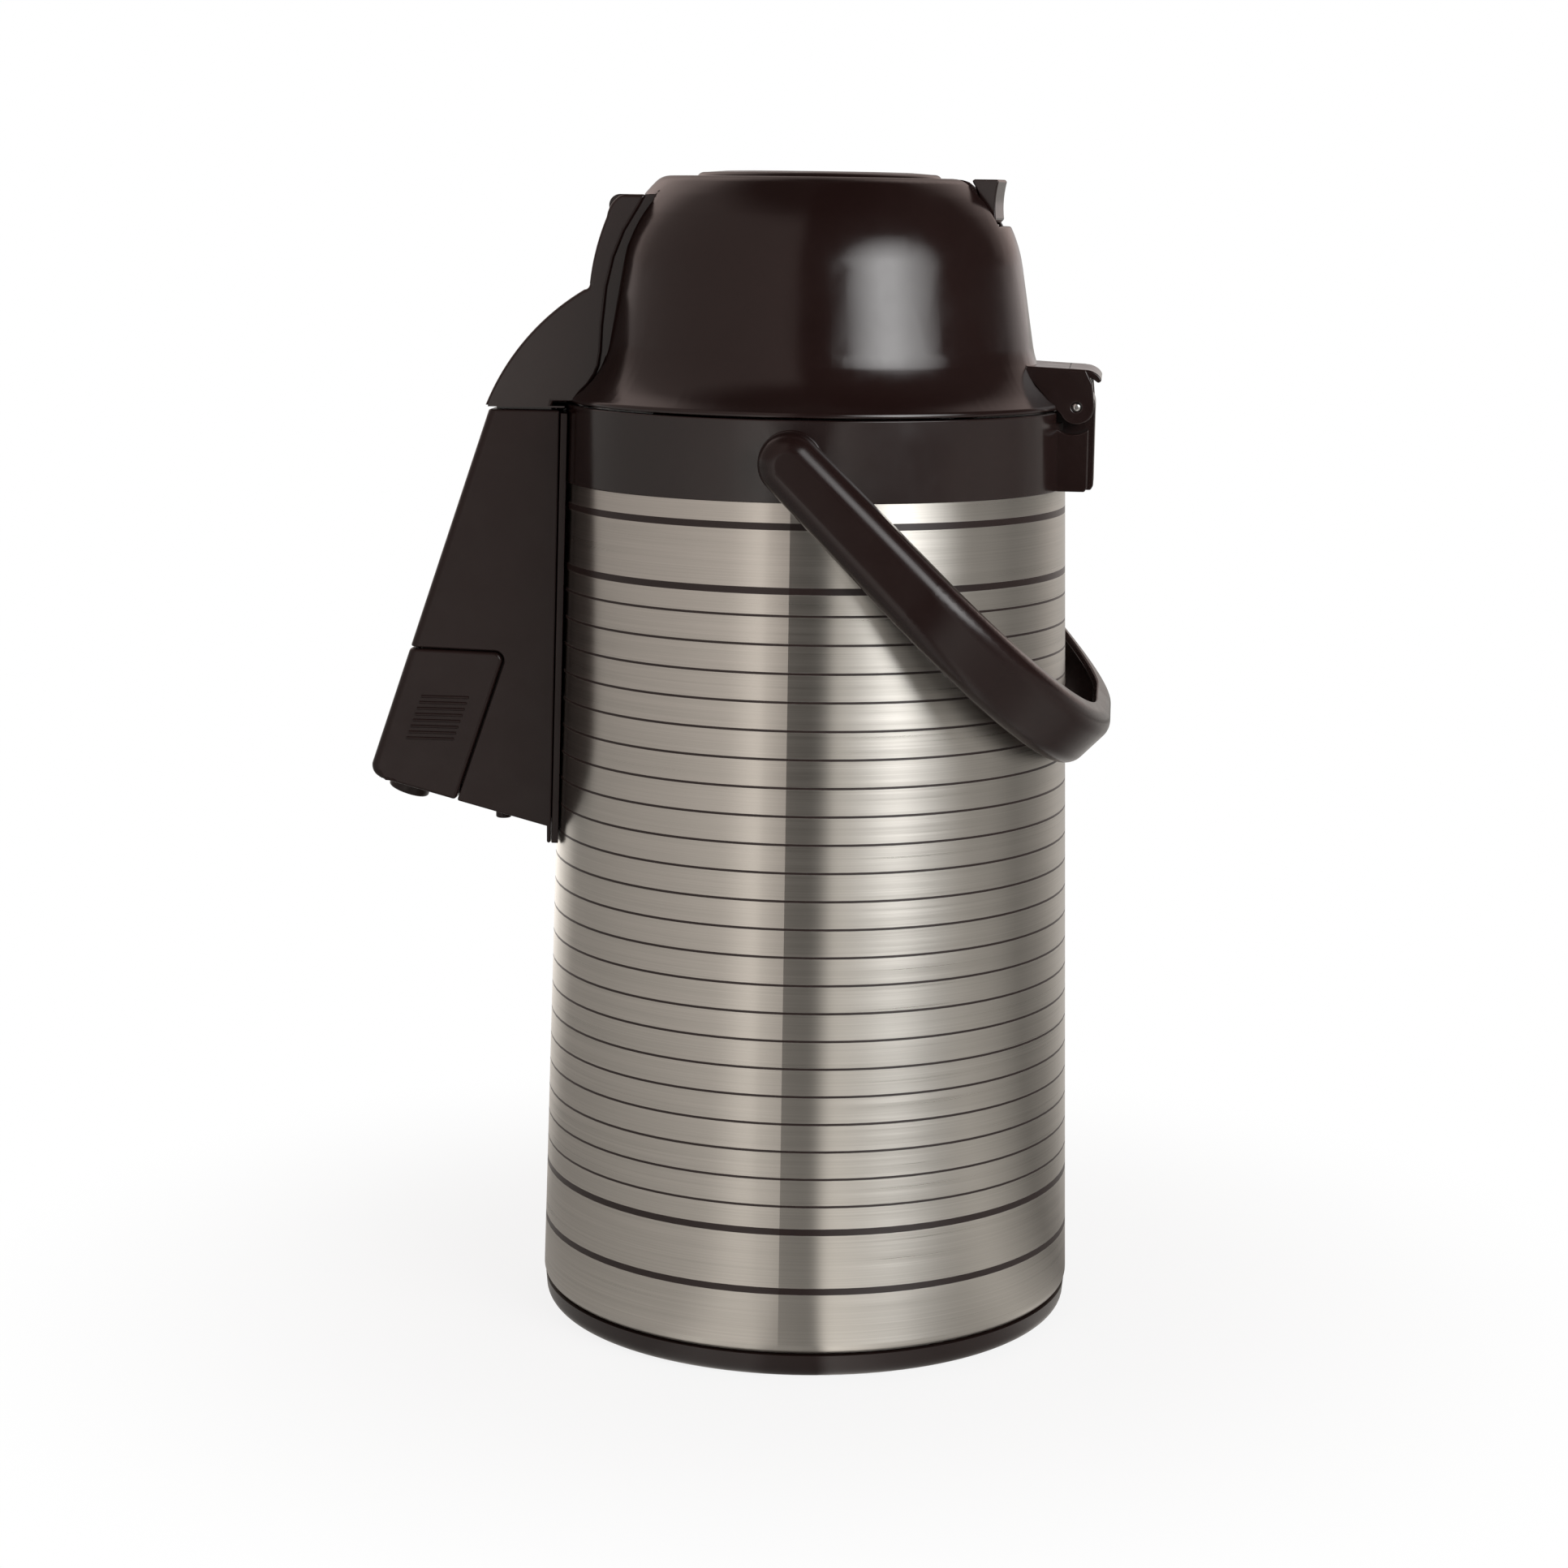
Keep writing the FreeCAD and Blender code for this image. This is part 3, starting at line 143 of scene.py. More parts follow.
def mathNode(tree, operation, *inputs):
    values = dict(enumerate(inputs))
    return addNode(tree, "ShaderNodeMath", values, operation=operation).outputs[0]


def mapRange(tree, value, low, high, toLow, toHigh, kind="LINEAR"):
    values = {"Value": value, "From Min": low, "From Max": high, "To Min": toLow, "To Max": toHigh}
    made = addNode(tree, "ShaderNodeMapRange", values, interpolation_type=kind)
    return made.outputs["Result"]


def mixColour(tree, share, first, second):
    values = {0: share, 6: first, 7: second}  # sockets of the colour mode
    return addNode(tree, "ShaderNodeMix", values, data_type="RGBA").outputs[2]


def noise(tree, vector, scale, detail, rough):
    values = {"Vector": vector, "Scale": scale, "Detail": detail, "Roughness": rough}
    return addNode(tree, "ShaderNodeTexNoise", values).outputs["Fac"]


def bumpFrom(tree, height, strength, distance):
    values = {"Height": height, "Strength": strength, "Distance": distance}
    return addNode(tree, "ShaderNodeBump", values).outputs["Normal"]


def objectPlace(tree):
    return addNode(tree, "ShaderNodeTexCoord").outputs["Object"]


def lengthOf(tree, vector):
    return addNode(tree, "ShaderNodeVectorMath", {0: vector}, operation="LENGTH").outputs["Value"]


noiseSpan = (0.3, 0.7)  # nearly all of a noise lies in here


def spread(tree, value, low, high):
    return mapRange(tree, value, *noiseSpan, low, high)


# moulded plastics
mouldNoise = {
    "flow": (38.0, 3.0, 0.55),  # slow colour drift from the mould: scale, detail, roughness
    "handled": (90.0, 4.0, 0.6),  # handled patches
    "grain": (2.0, 0.5),  # detail and roughness, the scale is each plastic's own
    "bump": 0.35,
}
glossMoulding = {
    "deep": (0.0132, 0.0062, 0.0055),
    "warm": (0.0188, 0.0095, 0.0085),
    "rough": (0.14, 0.21),
    "shine": 0.5,
    "grain": 1400.0,
    "relief": 0.00001,
}
satinMoulding = {
    "deep": (0.0145, 0.0072, 0.0065),
    "warm": (0.0195, 0.0098, 0.0089),
    "rough": (0.28, 0.36),
    "shine": 0.29,
    "grain": 2600.0,
    "relief": 0.00003,
}
handleMoulding = {
    "deep": (0.0140, 0.0068, 0.0061),
    "warm": (0.0190, 0.0095, 0.0086),
    "rough": (0.20, 0.27),
    "shine": 0.34,
    "grain": 2600.0,
    "relief": 0.00002,
}
paleMoulding = {
    "deep": (0.60, 0.585, 0.54),
    "warm": (0.68, 0.665, 0.62),
    "rough": (0.34, 0.46),
    "shine": 0.5,
    "grain": 1800.0,
    "relief": 0.00002,
}


def mouldedPlastic(name, spec):
    material, tree, shader = newMaterial(name)
    place = objectPlace(tree)
    flow = noise(tree, place, *mouldNoise["flow"])
    handled = noise(tree, place, *mouldNoise["handled"])
    grain = noise(tree, place, spec["grain"], *mouldNoise["grain"])
    feed(tree, shader, {
        "Base Color": mixColour(tree, flow, spec["deep"], spec["warm"]),
        "Roughness": spread(tree, handled, *spec["rough"]),
        "Normal": bumpFrom(tree, grain, mouldNoise["bump"], spec["relief"]),
        "Specular IOR Level": spec["shine"],
    })
    return material


# printed brushed steel
printedSteel = {
    "light": (0.66, 0.635, 0.59),
    "dark": (0.52, 0.50, 0.46),
    "rough": (0.265, 0.335),
    # brush marks are long round the body and fine up its height
    "streaks": {"stretch": (9.0, 9.0, 2600.0), "noise": (1.0, 3.0, 0.6), "share": 0.65},
    "bands": {"stretch": (14.0, 14.0, 420.0), "noise": (1.0, 2.0, 0.5), "share": 0.35},
    "bump": (0.2, 0.00002),
    "sheen": {"Anisotropic": 0.9, "Anisotropic Rotation": 0.25},
    "ink": (0.022, 0.013, 0.012),
    "inkRough": 0.4,
    "inkEdge": 0.00006,  # half the soft edge of a stripe
    "thickBands": (0.2624, 0.2433, 0.04705, 0.02825),  # heights of the wide stripes
    "thickWidth": 0.0021,
    "firstLine": 0.2359,
    "linePitch": 0.00861,
    "lineCount": 22,
    "lineWidth": 0.00075,
}


def stripeMask(tree, height, spec):
    def stripe(offset, width):
        away = mathNode(tree, "ABSOLUTE", offset)
        half, soft = width / 2, spec["inkEdge"]
        return mapRange(tree, away, half - soft, half + soft, 1.0, 0.0)

    # the fine lines share one pitch, so only the nearest of them counts
    pitch = spec["linePitch"]
    fromFirst = mathNode(tree, "SUBTRACT", spec["firstLine"], height)
    number = mathNode(tree, "ROUND", mathNode(tree, "DIVIDE", fromFirst, pitch))
    number = mathNode(tree, "MAXIMUM", number, 0.0)
    number = mathNode(tree, "MINIMUM", number, spec["lineCount"] - 1.0)
    nearest = mathNode(tree, "MULTIPLY", number, pitch)
    mask = stripe(mathNode(tree, "SUBTRACT", fromFirst, nearest), spec["lineWidth"])
    for level in spec["thickBands"]:
        band = stripe(mathNode(tree, "SUBTRACT", height, level), spec["thickWidth"])
        mask = mathNode(tree, "MAXIMUM", mask, band)
    return mask


def brushMarks(tree, place, marks):
    stretched = addNode(tree, "ShaderNodeMapping", {"Vector": place, "Scale": marks["stretch"]})
    return noise(tree, stretched.outputs[0], *marks["noise"])


def brushedSteel(name, spec):
    material, tree, shader = newMaterial(name)
    place = objectPlace(tree)
    streaks = brushMarks(tree, place, spec["streaks"])
    bands = brushMarks(tree, place, spec["bands"])
    tone = mathNode(tree, "ADD", mathNode(tree, "MULTIPLY", streaks, spec["streaks"]["share"]),
                    mathNode(tree, "MULTIPLY", bands, spec["bands"]["share"]))
    bare = mixColour(tree, spread(tree, tone, 0.0, 1.0), spec["dark"], spec["light"])
    ink = stripeMask(tree, addNode(tree, "ShaderNodeSeparateXYZ", {0: place}).outputs["Z"], spec)
    unprinted = mathNode(tree, "SUBTRACT", 1.0, ink)
    steelRough = mathNode(tree, "MULTIPLY", spread(tree, tone, *spec["rough"]), unprinted)
    inkRough = mathNode(tree, "MULTIPLY", ink, spec["inkRough"])
    brushed = addNode(tree, "ShaderNodeTangent", direction_type="RADIAL", axis="Z")
    feed(tree, shader, {
        "Base Color": mixColour(tree, ink, bare, spec["ink"]),
        "Metallic": unprinted,
        "Roughness": mathNode(tree, "ADD", steelRough, inkRough),
        "Normal": bumpFrom(tree, streaks, *spec["bump"]),
        "Tangent": brushed.outputs[0],
    })
    feed(tree, shader, spec["sheen"])
    return material


# finishes where one noise carries both the tone and the roughness
brightSteel = {
    "dark": (0.62, 0.61, 0.60),
    "light": (0.74, 0.73, 0.72),
    "marks": (700.0, 3.0, 0.6),
    "rough": (0.16, 0.3),
    "fixed": {"Metallic": 1.0},
}
silveredGlass = {
    "dark": (0.80, 0.81, 0.83),
    "light": (0.88, 0.885, 0.90),
    "marks": (26.0, 2.0, 0.5),
    "rough": (0.03, 0.09),
    "fixed": {"Metallic": 1.0, "Coat Weight": 1.0},
    "grain": (26.0, 2.0, 0.5),
    "bump": (0.3, 0.0004),
}
greyRubber = {
    "dark": (0.27, 0.27, 0.275),
    "light": (0.34, 0.34, 0.345),
    "marks": (160.0, 4.0, 0.6),
    "rough": (0.55, 0.75),
    "fixed": {},
    "grain": (2200.0, 2.0, 0.5),
    "bump": (0.4, 0.00003),
}


def mottledFinish(name, spec):
    material, tree, shader = newMaterial(name)
    place = objectPlace(tree)
    marks = noise(tree, place, *spec["marks"])
    feed(tree, shader, {
        "Base Color": mixColour(tree, marks, spec["dark"], spec["light"]),
        "Roughness": spread(tree, marks, *spec["rough"]),
    })
    feed(tree, shader, spec["fixed"])
    if "grain" in spec:
        grain = noise(tree, place, *spec["grain"])
        feed(tree, shader, {"Normal": bumpFrom(tree, grain, *spec["bump"])})
    return material


finishes = {
    "brown_plastic": mouldedPlastic("glossBrown", glossMoulding),
    "satin_plastic": mouldedPlastic("satinBrown", satinMoulding),
    "pale_plastic": mouldedPlastic("naturalPlastic", paleMoulding),
    "brushed_steel": brushedSteel("printedSteel", printedSteel),
    "painted_screw": mouldedPlastic("paintedScrew", satinMoulding),
    "pin_steel": mottledFinish("brightSteel", brightSteel),
    "silvered_glass": mottledFinish("silveredGlass", silveredGlass),
    "grey_rubber": mottledFinish("greyRubber", greyRubber),
}
handleFinish = mouldedPlastic("handleBrown", handleMoulding)  # the bail is polished by hands


def finishFor(nodeName):
    return handleFinish if nodeName == "handle" else finishes[slotOf[nodeName]]


for nodeName, part in nodes.items():
    part.data.materials.clear()
    part.data.materials.append(finishFor(nodeName))
print("finishes on", len(nodes), "parts")


# moulded parts with eased edges
noseCut = {
    "line": (  # rear edge of the nose's side walls, along the pot and up
        (-0.0500, 0.3605), (-0.0532, 0.3548), (-0.0577, 0.3474), (-0.0610, 0.3392),
        (-0.0632, 0.3300), (-0.0645, 0.3181), (-0.0649, 0.3103), (-0.0656, 0.3059),
        (-0.0667, 0.3031), (-0.0689, 0.2999), (-0.0712, 0.2976), (-0.0744, 0.2934),
        (-0.0772, 0.2900),
    ),
    "rear": -0.03,  # the knife reaches past the nose here and to both sides
    "half": 0.05,
}
gripHollow = {
    "pivot": 0.2812,
    "hang": 45.2,  # degrees below level
    "start": 0.0145,
    "bend": 0.0543,
    "outer": (0.0157, 0.0726),  # middle and radius of the bend
    "inner": (0.0164, 0.0609),
    "half": (0.0072, 0.0084),  # half width at the arms and over the grip
    "steps": 24,
}
domeSlot = {  # the dome's edges beside the nose
    "side": 0.02725,
    "near": 0.0002,
    "front": -0.04,
    "edge": 0.0013,
}
easedParts = {
    "lid_nose": {"name": "lidNose", "edge": 0.0010, "trim": noseCut, "rim": True},
    "spout_housing": {"name": "spoutHousing", "edge": 0.0006, "seam": True},
    "spout_backplate": {"name": "spoutBackplate", "edge": 0.0002},
    "nozzle_cover": {"name": "nozzleCover", "edge": 0.0010},
    "collar": {"name": "collarRing", "edge": 0.0004},
    "lid_dome": {"name": "lidDome", "edge": 0.0005, "slot": domeSlot},
    "latch_lever": {"name": "latchLever", "edge": 0.0003},
    "lock_ring": {"name": "lockRing", "edge": 0.0005},
    "push_plate": {"name": "pushPlate", "edge": 0.0006},
    "handle": {"name": "bailHandle", "edge": 0.0006, "hollow": gripHollow},
    "hinge_pin": {"name": "hingePin", "edge": 0.0009},
}
easing = {
    "merge": 0.000004,  # points closer than this are one
    "flat": 0.3,  # degrees, faces that differ by less are one
    "sharp": 28.0,  # degrees, edges that turn by more are rounded
    "steps": 3,
    "profile": 0.5,  # a round arc
    "smooth": 38.0,  # degrees, shading breaks where faces differ by more
    "seam": 0.0003,  # edges this close to a seam stay crisp
}


def mergedShape(nodeName):
    source = nodes[nodeName].data
    shape = bmesh.new()
    points = [shape.verts.new(vertex.co) for vertex in source.vertices]
    for polygon in source.polygons:
        shape.faces.new([points[index] for index in polygon.vertices])
    bmesh.ops.remove_doubles(shape, verts=shape.verts, dist=easing["merge"])
    return shape


def finishPiece(shape, name, nodeName):
    mesh = meshOf(shape, name)
    shape.free()
    mesh.materials.append(finishFor(nodeName))
    mesh.shade_smooth()
    mesh.set_sharp_from_angle(angle=math.radians(easing["smooth"]))
    return addObject(name, mesh)


def standFor(piece, nodeName):
    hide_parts(nodeName)
    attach(piece, bodyOf[nodeName])


def plainMesh(piece):
    # modifiers applied, so the piece is a plain mesh again
    view = bpy.context.evaluated_depsgraph_get()
    mesh = bpy.data.meshes.new_from_object(piece.evaluated_get(view))
    piece.modifiers.clear()
    piece.data = mesh


def addPrism(shape, near, far):
    near = [shape.verts.new(point) for point in near]
    far = [shape.verts.new(point) for point in far]
    shape.faces.new(near)
    shape.faces.new(far)
    for k in range(len(near)):
        after = (k + 1) % len(near)
        shape.faces.new((near[k], near[after], far[after], far[k]))


def sideKnife(line, rear, spans):
    # what lies behind a line drawn along the pot and up, between some pairs of widths
    outline = [*line, (rear, line[-1][1]), (rear, line[0][1])]
    knife = bmesh.new()
    for low, high in spans:
        addPrism(knife, [(high, y, z) for y, z in outline], [(low, y, z) for y, z in outline])
    return knife


def carve(shape, knife, operation):
    bmesh.ops.recalc_face_normals(knife, faces=knife.faces)
    body = addObject("cutBody", meshOf(shape, "cutBody"))
    tool = addObject("cutKnife", meshOf(knife, "cutKnife"))
    knife.free()
    trim = body.modifiers.new("trim", "BOOLEAN")
    trim.operation = operation
    trim.solver = "EXACT"
    trim.object = tool
    plainMesh(body)
    shape.clear()
    shape.from_mesh(body.data)
    for made in (body, tool):
        bpy.data.objects.remove(made)


def gripKnife(spec):
    # the channel under the bail, drawn level and then let hang
    def rail(middle, radius):
        points = [(middle + radius, spec["start"])]
        for k in range(spec["steps"] + 1):
            angle = k * math.pi / 2 / spec["steps"]
            across = middle + radius * math.cos(angle)
            points.append((across, spec["bend"] + radius * math.sin(angle)))
        return points + [(-x, y) for x, y in reversed(points)]

    outline = rail(*spec["outer"]) + rail(*spec["inner"])[::-1]
    hang = Matrix.Rotation(-math.radians(spec["hang"]), 4, "X")
    place = Matrix.Translation((0, 0, spec["pivot"])) @ hang
    span = spec["bend"] + spec["outer"][1] - spec["start"]
    narrow, wide = spec["half"]
    sides = []
    for way in (1.0, -1.0):
        side = []
        for x, y in outline:
            half = narrow + (wide - narrow) * (y - spec["start"]) / span
            side.append(place @ Vector((x, y, way * half)))
        sides.append(side)
    knife = bmesh.new()
    addPrism(knife, *sides)
    return knife


def sharpEdges(shape):
    limit = math.radians(easing["sharp"])
    folds = [edge for edge in shape.edges if len(edge.link_faces) == 2 and edge.is_convex]
    return [edge for edge in folds if edge.calc_face_angle() > limit]


def besideSlot(edge, slot):
    aside = [abs(abs(end.co.x) - slot["side"]) for end in edge.verts]
    return max(aside) < slot["near"] and max(end.co.y for end in edge.verts) < slot["front"]


def roundEdges(shape, edges, width):
    skin = BVHTree.FromBMesh(shape)
    bmesh.ops.bevel(shape, geom=edges, offset=width, offset_type="OFFSET",
                    segments=easing["steps"], profile=easing["profile"], affect="EDGES",
                    clamp_overlap=False, loop_slide=True)
    for vertex in shape.verts:
        spot, _, _, away = skin.find_nearest(vertex.co)
        if away > width:
            vertex.co = spot  # a corner that ran past its face comes back to the skin
    bmesh.ops.dissolve_degenerate(shape, dist=easing["merge"], edges=shape.edges)


def easedPart(nodeName, spec):
    shape = mergedShape(nodeName)
    if "trim" in spec:
        trim = spec["trim"]
        knife = sideKnife(trim["line"], trim["rear"], ((-trim["half"], trim["half"]),))
        carve(shape, knife, "DIFFERENCE")
    if "hollow" in spec:
        carve(shape, gripKnife(spec["hollow"]), "DIFFERENCE")
    bmesh.ops.dissolve_limit(shape, angle_limit=math.radians(easing["flat"]),
                             use_dissolve_boundaries=False, verts=shape.verts, edges=shape.edges)
    if "slot" in spec:
        beside = [edge for edge in sharpEdges(shape) if besideSlot(edge, spec["slot"])]
        roundEdges(shape, beside, spec["slot"]["edge"])
    edges = sharpEdges(shape)
    if spec.get("seam"):  # the seam to the backplate stays crisp
        rear = max(vertex.co.y for vertex in shape.verts) - easing["seam"]
        edges = [edge for edge in edges if min(end.co.y for end in edge.verts) < rear]
    if spec.get("rim"):  # the skirt carries on below
        rim = min(vertex.co.z for vertex in shape.verts) + easing["seam"]
        edges = [edge for edge in edges if max(end.co.z for end in edge.verts) > rim]
    roundEdges(shape, edges, spec["edge"])
    bmesh.ops.recalc_face_normals(shape, faces=shape.faces)
    piece = finishPiece(shape, spec["name"], nodeName)
    weigh = piece.modifiers.new("flatFaces", "WEIGHTED_NORMAL")
    weigh.mode = "FACE_AREA"
    weigh.keep_sharp = True
    plainMesh(piece)
    standFor(piece, nodeName)


for nodeName, spec in easedParts.items():
    easedPart(nodeName, spec)
print("eased", len(easedParts), "mouldings")


# recessed web that closes the nose's sides towards the dome
noseWeb = {"inner": 0.0247, "outer": 0.0257, "lap": 0.0008}


def addNoseWeb(spec):
    line = [(y - spec["lap"], z) for y, z in noseCut["line"]]
    inner, outer = spec["inner"], spec["outer"]
    shape = mergedShape("lid_nose")
    knife = sideKnife(line, noseCut["rear"], ((inner, outer), (-outer, -inner)))
    carve(shape, knife, "INTERSECT")
    piece = finishPiece(shape, "noseWeb", "lid_nose")
    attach(piece, "lid")


addNoseWeb(noseWeb)
print("nose closed at its sides")


# skirt that carries the nose's sides down to the seam, and a locating rib inside it
noseRibs = (
    {"side": 0.0270, "front": -0.1007, "rear": -0.0765, "low": 0.2927, "wall": 0.0016},
    {"side": 0.0238, "front": -0.0985, "rear": -0.0812, "low": 0.29188, "wall": 0.0014},
)


def addBox(shape, low, high):
    middle = [(first + last) / 2 for first, last in zip(low, high)]
    size = [last - first for first, last in zip(low, high)]
    place = Matrix.Translation(middle) @ Matrix.Diagonal((*size, 1.0))
    bmesh.ops.create_cube(shape, size=1.0, matrix=place)


def addNoseRib(specs):
    high = min(vertex.co.z for vertex in nodes["lid_nose"].data.vertices)  # the nose's rim
    shape = bmesh.new()
    for spec in specs:
        wall, side, low = spec["wall"], spec["side"], spec["low"]
        front, rear = spec["front"], spec["rear"]
        addBox(shape, (side - wall, front, low), (side, rear, high))
        addBox(shape, (-side, front, low), (wall - side, rear, high))
        addBox(shape, (wall - side, front, low), (side - wall, front + wall, high))
    piece = finishPiece(shape, "noseRib", "lid_nose")
    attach(piece, "lid")


addNoseRib(noseRibs)
print("skirt and rib under the nose")


# bellows and spring, shortened a hair towards their anchor
closingParts = {
    "bellows": {"name": "pumpBellows", "anchor": 0.2967, "keep": 0.613, "clear": 0.998},
    "return_spring": {"name": "returnSpring", "anchor": 0.2971, "keep": 0.593, "clear": 0.998},
}


def closingPart(nodeName, spec):
    shape = mergedShape(nodeName)
    for vertex in shape.verts:  # a hair short of what presses on it
        vertex.co.z = spec["anchor"] + (vertex.co.z - spec["anchor"]) * spec["clear"]
    piece = finishPiece(shape, spec["name"], nodeName)
    standFor(piece, nodeName)
    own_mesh(piece)


for nodeName, spec in closingParts.items():
    closingPart(nodeName, spec)


# finger ribs on both sides of the nozzle cover
coverRibs = {
    "count": 8,
    "upper": (0.0, -0.1149, 0.2004),  # middle of the highest rib, in the pot's middle plane
    "lower": (0.0, -0.1198, 0.1869),
    "length": 0.0152,
    "radius": 0.00046,
    "side": 0.02698,  # the cover's side face
    "around": 10,  # corners of a rib's round section
    "smooth": 50.0,
}
ribSockets = {
    "count": "NodeSocketInt",
    "upper": "NodeSocketVector",
    "lower": "NodeSocketVector",
    "length": "NodeSocketFloat",
    "radius": "NodeSocketFloat",
    "side": "NodeSocketFloat",
    "around": "NodeSocketInt",
}


def ribTree(material):
    tree = bpy.data.node_groups.new("coverRibs", "GeometryNodeTree")
    face = tree.interface
    face.new_socket("Geometry", in_out="OUTPUT", socket_type="NodeSocketGeometry")
    sockets = {}
    for label, kind in ribSockets.items():
        sockets[label] = face.new_socket(label, in_out="INPUT", socket_type=kind).identifier
    given = addNode(tree, "NodeGroupInput").outputs

    # one rib lies along the pot, and a row of them goes down the cover
    half = mathNode(tree, "MULTIPLY", given["length"], 0.5)
    back = addNode(tree, "ShaderNodeCombineXYZ", {"Y": half})
    front = addNode(tree, "ShaderNodeCombineXYZ", {"Y": mathNode(tree, "MULTIPLY", half, -1.0)})
    spine = addNode(tree, "GeometryNodeCurvePrimitiveLine", {
        "Start": front.outputs[0],
        "End": back.outputs[0],
    })
    ring = addNode(tree, "GeometryNodeCurvePrimitiveCircle", {
        "Resolution": given["around"],
        "Radius": given["radius"],
    })
    bar = addNode(tree, "GeometryNodeCurveToMesh", {
        "Curve": spine.outputs[0],
        "Profile Curve": ring.outputs["Curve"],
        "Fill Caps": True,
    })
    line = addNode(tree, "GeometryNodeMeshLine", {
        "Count": given["count"],
        "Start Location": given["upper"],
        "Offset": given["lower"],  # the line's far end
    }, mode="END_POINTS")
    row = addNode(tree, "GeometryNodeInstanceOnPoints", {
        "Points": line.outputs[0],
        "Instance": bar.outputs[0],
    })

    both = addNode(tree, "GeometryNodeJoinGeometry")
    for way in (1.0, -1.0):  # the same row on either side
        across = mathNode(tree, "MULTIPLY", given["side"], way)
        aside = addNode(tree, "ShaderNodeCombineXYZ", {"X": across})
        put = addNode(tree, "GeometryNodeTransform", {
            "Geometry": row.outputs[0],
            "Translation": aside.outputs[0],
        })
        feed(tree, both, {0: put.outputs[0]})
    real = addNode(tree, "GeometryNodeRealizeInstances", {0: both.outputs[0]})
    paint = addNode(tree, "GeometryNodeSetMaterial", {
        "Geometry": real.outputs[0],
        "Material": material,
    })
    addNode(tree, "NodeGroupOutput", {0: paint.outputs[0]})
    return tree, sockets


def addRibs(spec):
    tree, sockets = ribTree(finishes["satin_plastic"])
    piece = addObject("nozzleRibs", bpy.data.meshes.new("nozzleRibs"))
    ribs = piece.modifiers.new("coverRibs", "NODES")
    ribs.node_group = tree
    for label, socket in sockets.items():
        ribs[socket] = spec[label]
    plainMesh(piece)
    piece.data.shade_smooth()
    piece.data.set_sharp_from_angle(angle=math.radians(spec["smooth"]))
    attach(piece, "nozzle_cover")


addRibs(coverRibs)
print("nozzle cover ribbed")


# studio: light by bearing in degrees from the camera's own, right of the camera is plus
def bearingRamp(tree, place, stops, tint):
    turn = math.radians(photoCamera["bearing"])
    apart = addNode(tree, "ShaderNodeSeparateXYZ", {0: place}).outputs

    def along(x, y):
        return mathNode(tree, "ADD", mathNode(tree, "MULTIPLY", apart["X"], x),
                        mathNode(tree, "MULTIPLY", apart["Y"], y))

    near = along(math.cos(turn), math.sin(turn))
    aside = along(-math.sin(turn), math.cos(turn))
    around = mathNode(tree, "ARCTAN2", aside, near)
    share = mapRange(tree, around, -math.pi, math.pi, 0.0, 1.0)
    ramp = addNode(tree, "ShaderNodeValToRGB", {0: share})
    points = ramp.color_ramp.elements
    points[0].position = 0.0
    points[1].position = 1.0
    for bearing, _ in stops[1:-1]:
        points.new((bearing + 180.0) / 360.0)
    for point, (_, level) in zip(points, stops):
        point.color = (*(level * part for part in tint), 1.0)
    return ramp.outputs["Color"], apart["Z"]


studioRoom = {
    "tint": (1.0, 0.80, 0.74),
    "levels": (
        (-180, 0.26), (-170, 0.42), (-158, 0.9), (-135, 0.95), (-115, 0.42), (-40, 0.45),
        (-13, 0.5), (-9, 0.03), (10, 0.03), (75, 0.05), (120, 0.05), (142, 0.7), (152, 0.92),
        (158, 0.88), (170, 0.42), (180, 0.26),
    ),
    "white": (1.0, 1.0, 1.0),
    # sine of the rise at both ends, then the share at each
    "lowWhite": (0.02, 0.16, 0.45, 0.0),  # gloss sees some of the white backdrop low down
    "topFade": (0.75, 0.95, 1.0, 0.1),  # overhead is dark
}


def addRoom(spec):
    world = bpy.data.worlds.new("studioRoom")
    scene.world = world
    world.use_nodes = True
    tree = world.node_tree
    direction = addNode(tree, "ShaderNodeTexCoord").outputs["Generated"]
    level, height = bearingRamp(tree, direction, spec["levels"], spec["tint"])
    rays = addNode(tree, "ShaderNodeLightPath").outputs
    low = mapRange(tree, height, *spec["lowWhite"], "SMOOTHSTEP")
    clear = mathNode(tree, "MAXIMUM", rays["Is Camera Ray"], rays["Is Transmission Ray"])
    glossy = mathNode(tree, "MULTIPLY", rays["Is Glossy Ray"], low)
    shown = mathNode(tree, "MAXIMUM", clear, glossy)
    fade = mapRange(tree, height, *spec["topFade"], "SMOOTHSTEP")
    feed(tree, tree.nodes["Background"], {
        "Color": mixColour(tree, shown, level, spec["white"]),
        "Strength": mathNode(tree, "MAXIMUM", fade, shown),
    })


studioFloor = {
    "radius": 9.0,
    "sides": 96,
    "surface": {"Base Color": (0.88, 0.88, 0.88), "Roughness": 0.9, "Specular IOR Level": 0.0},
    "glow": 1.0,
    # metres from the axis at both ends, then the share of plain white at each
    "clearing": (0.09, 0.30, 0.86, 1.0),
}


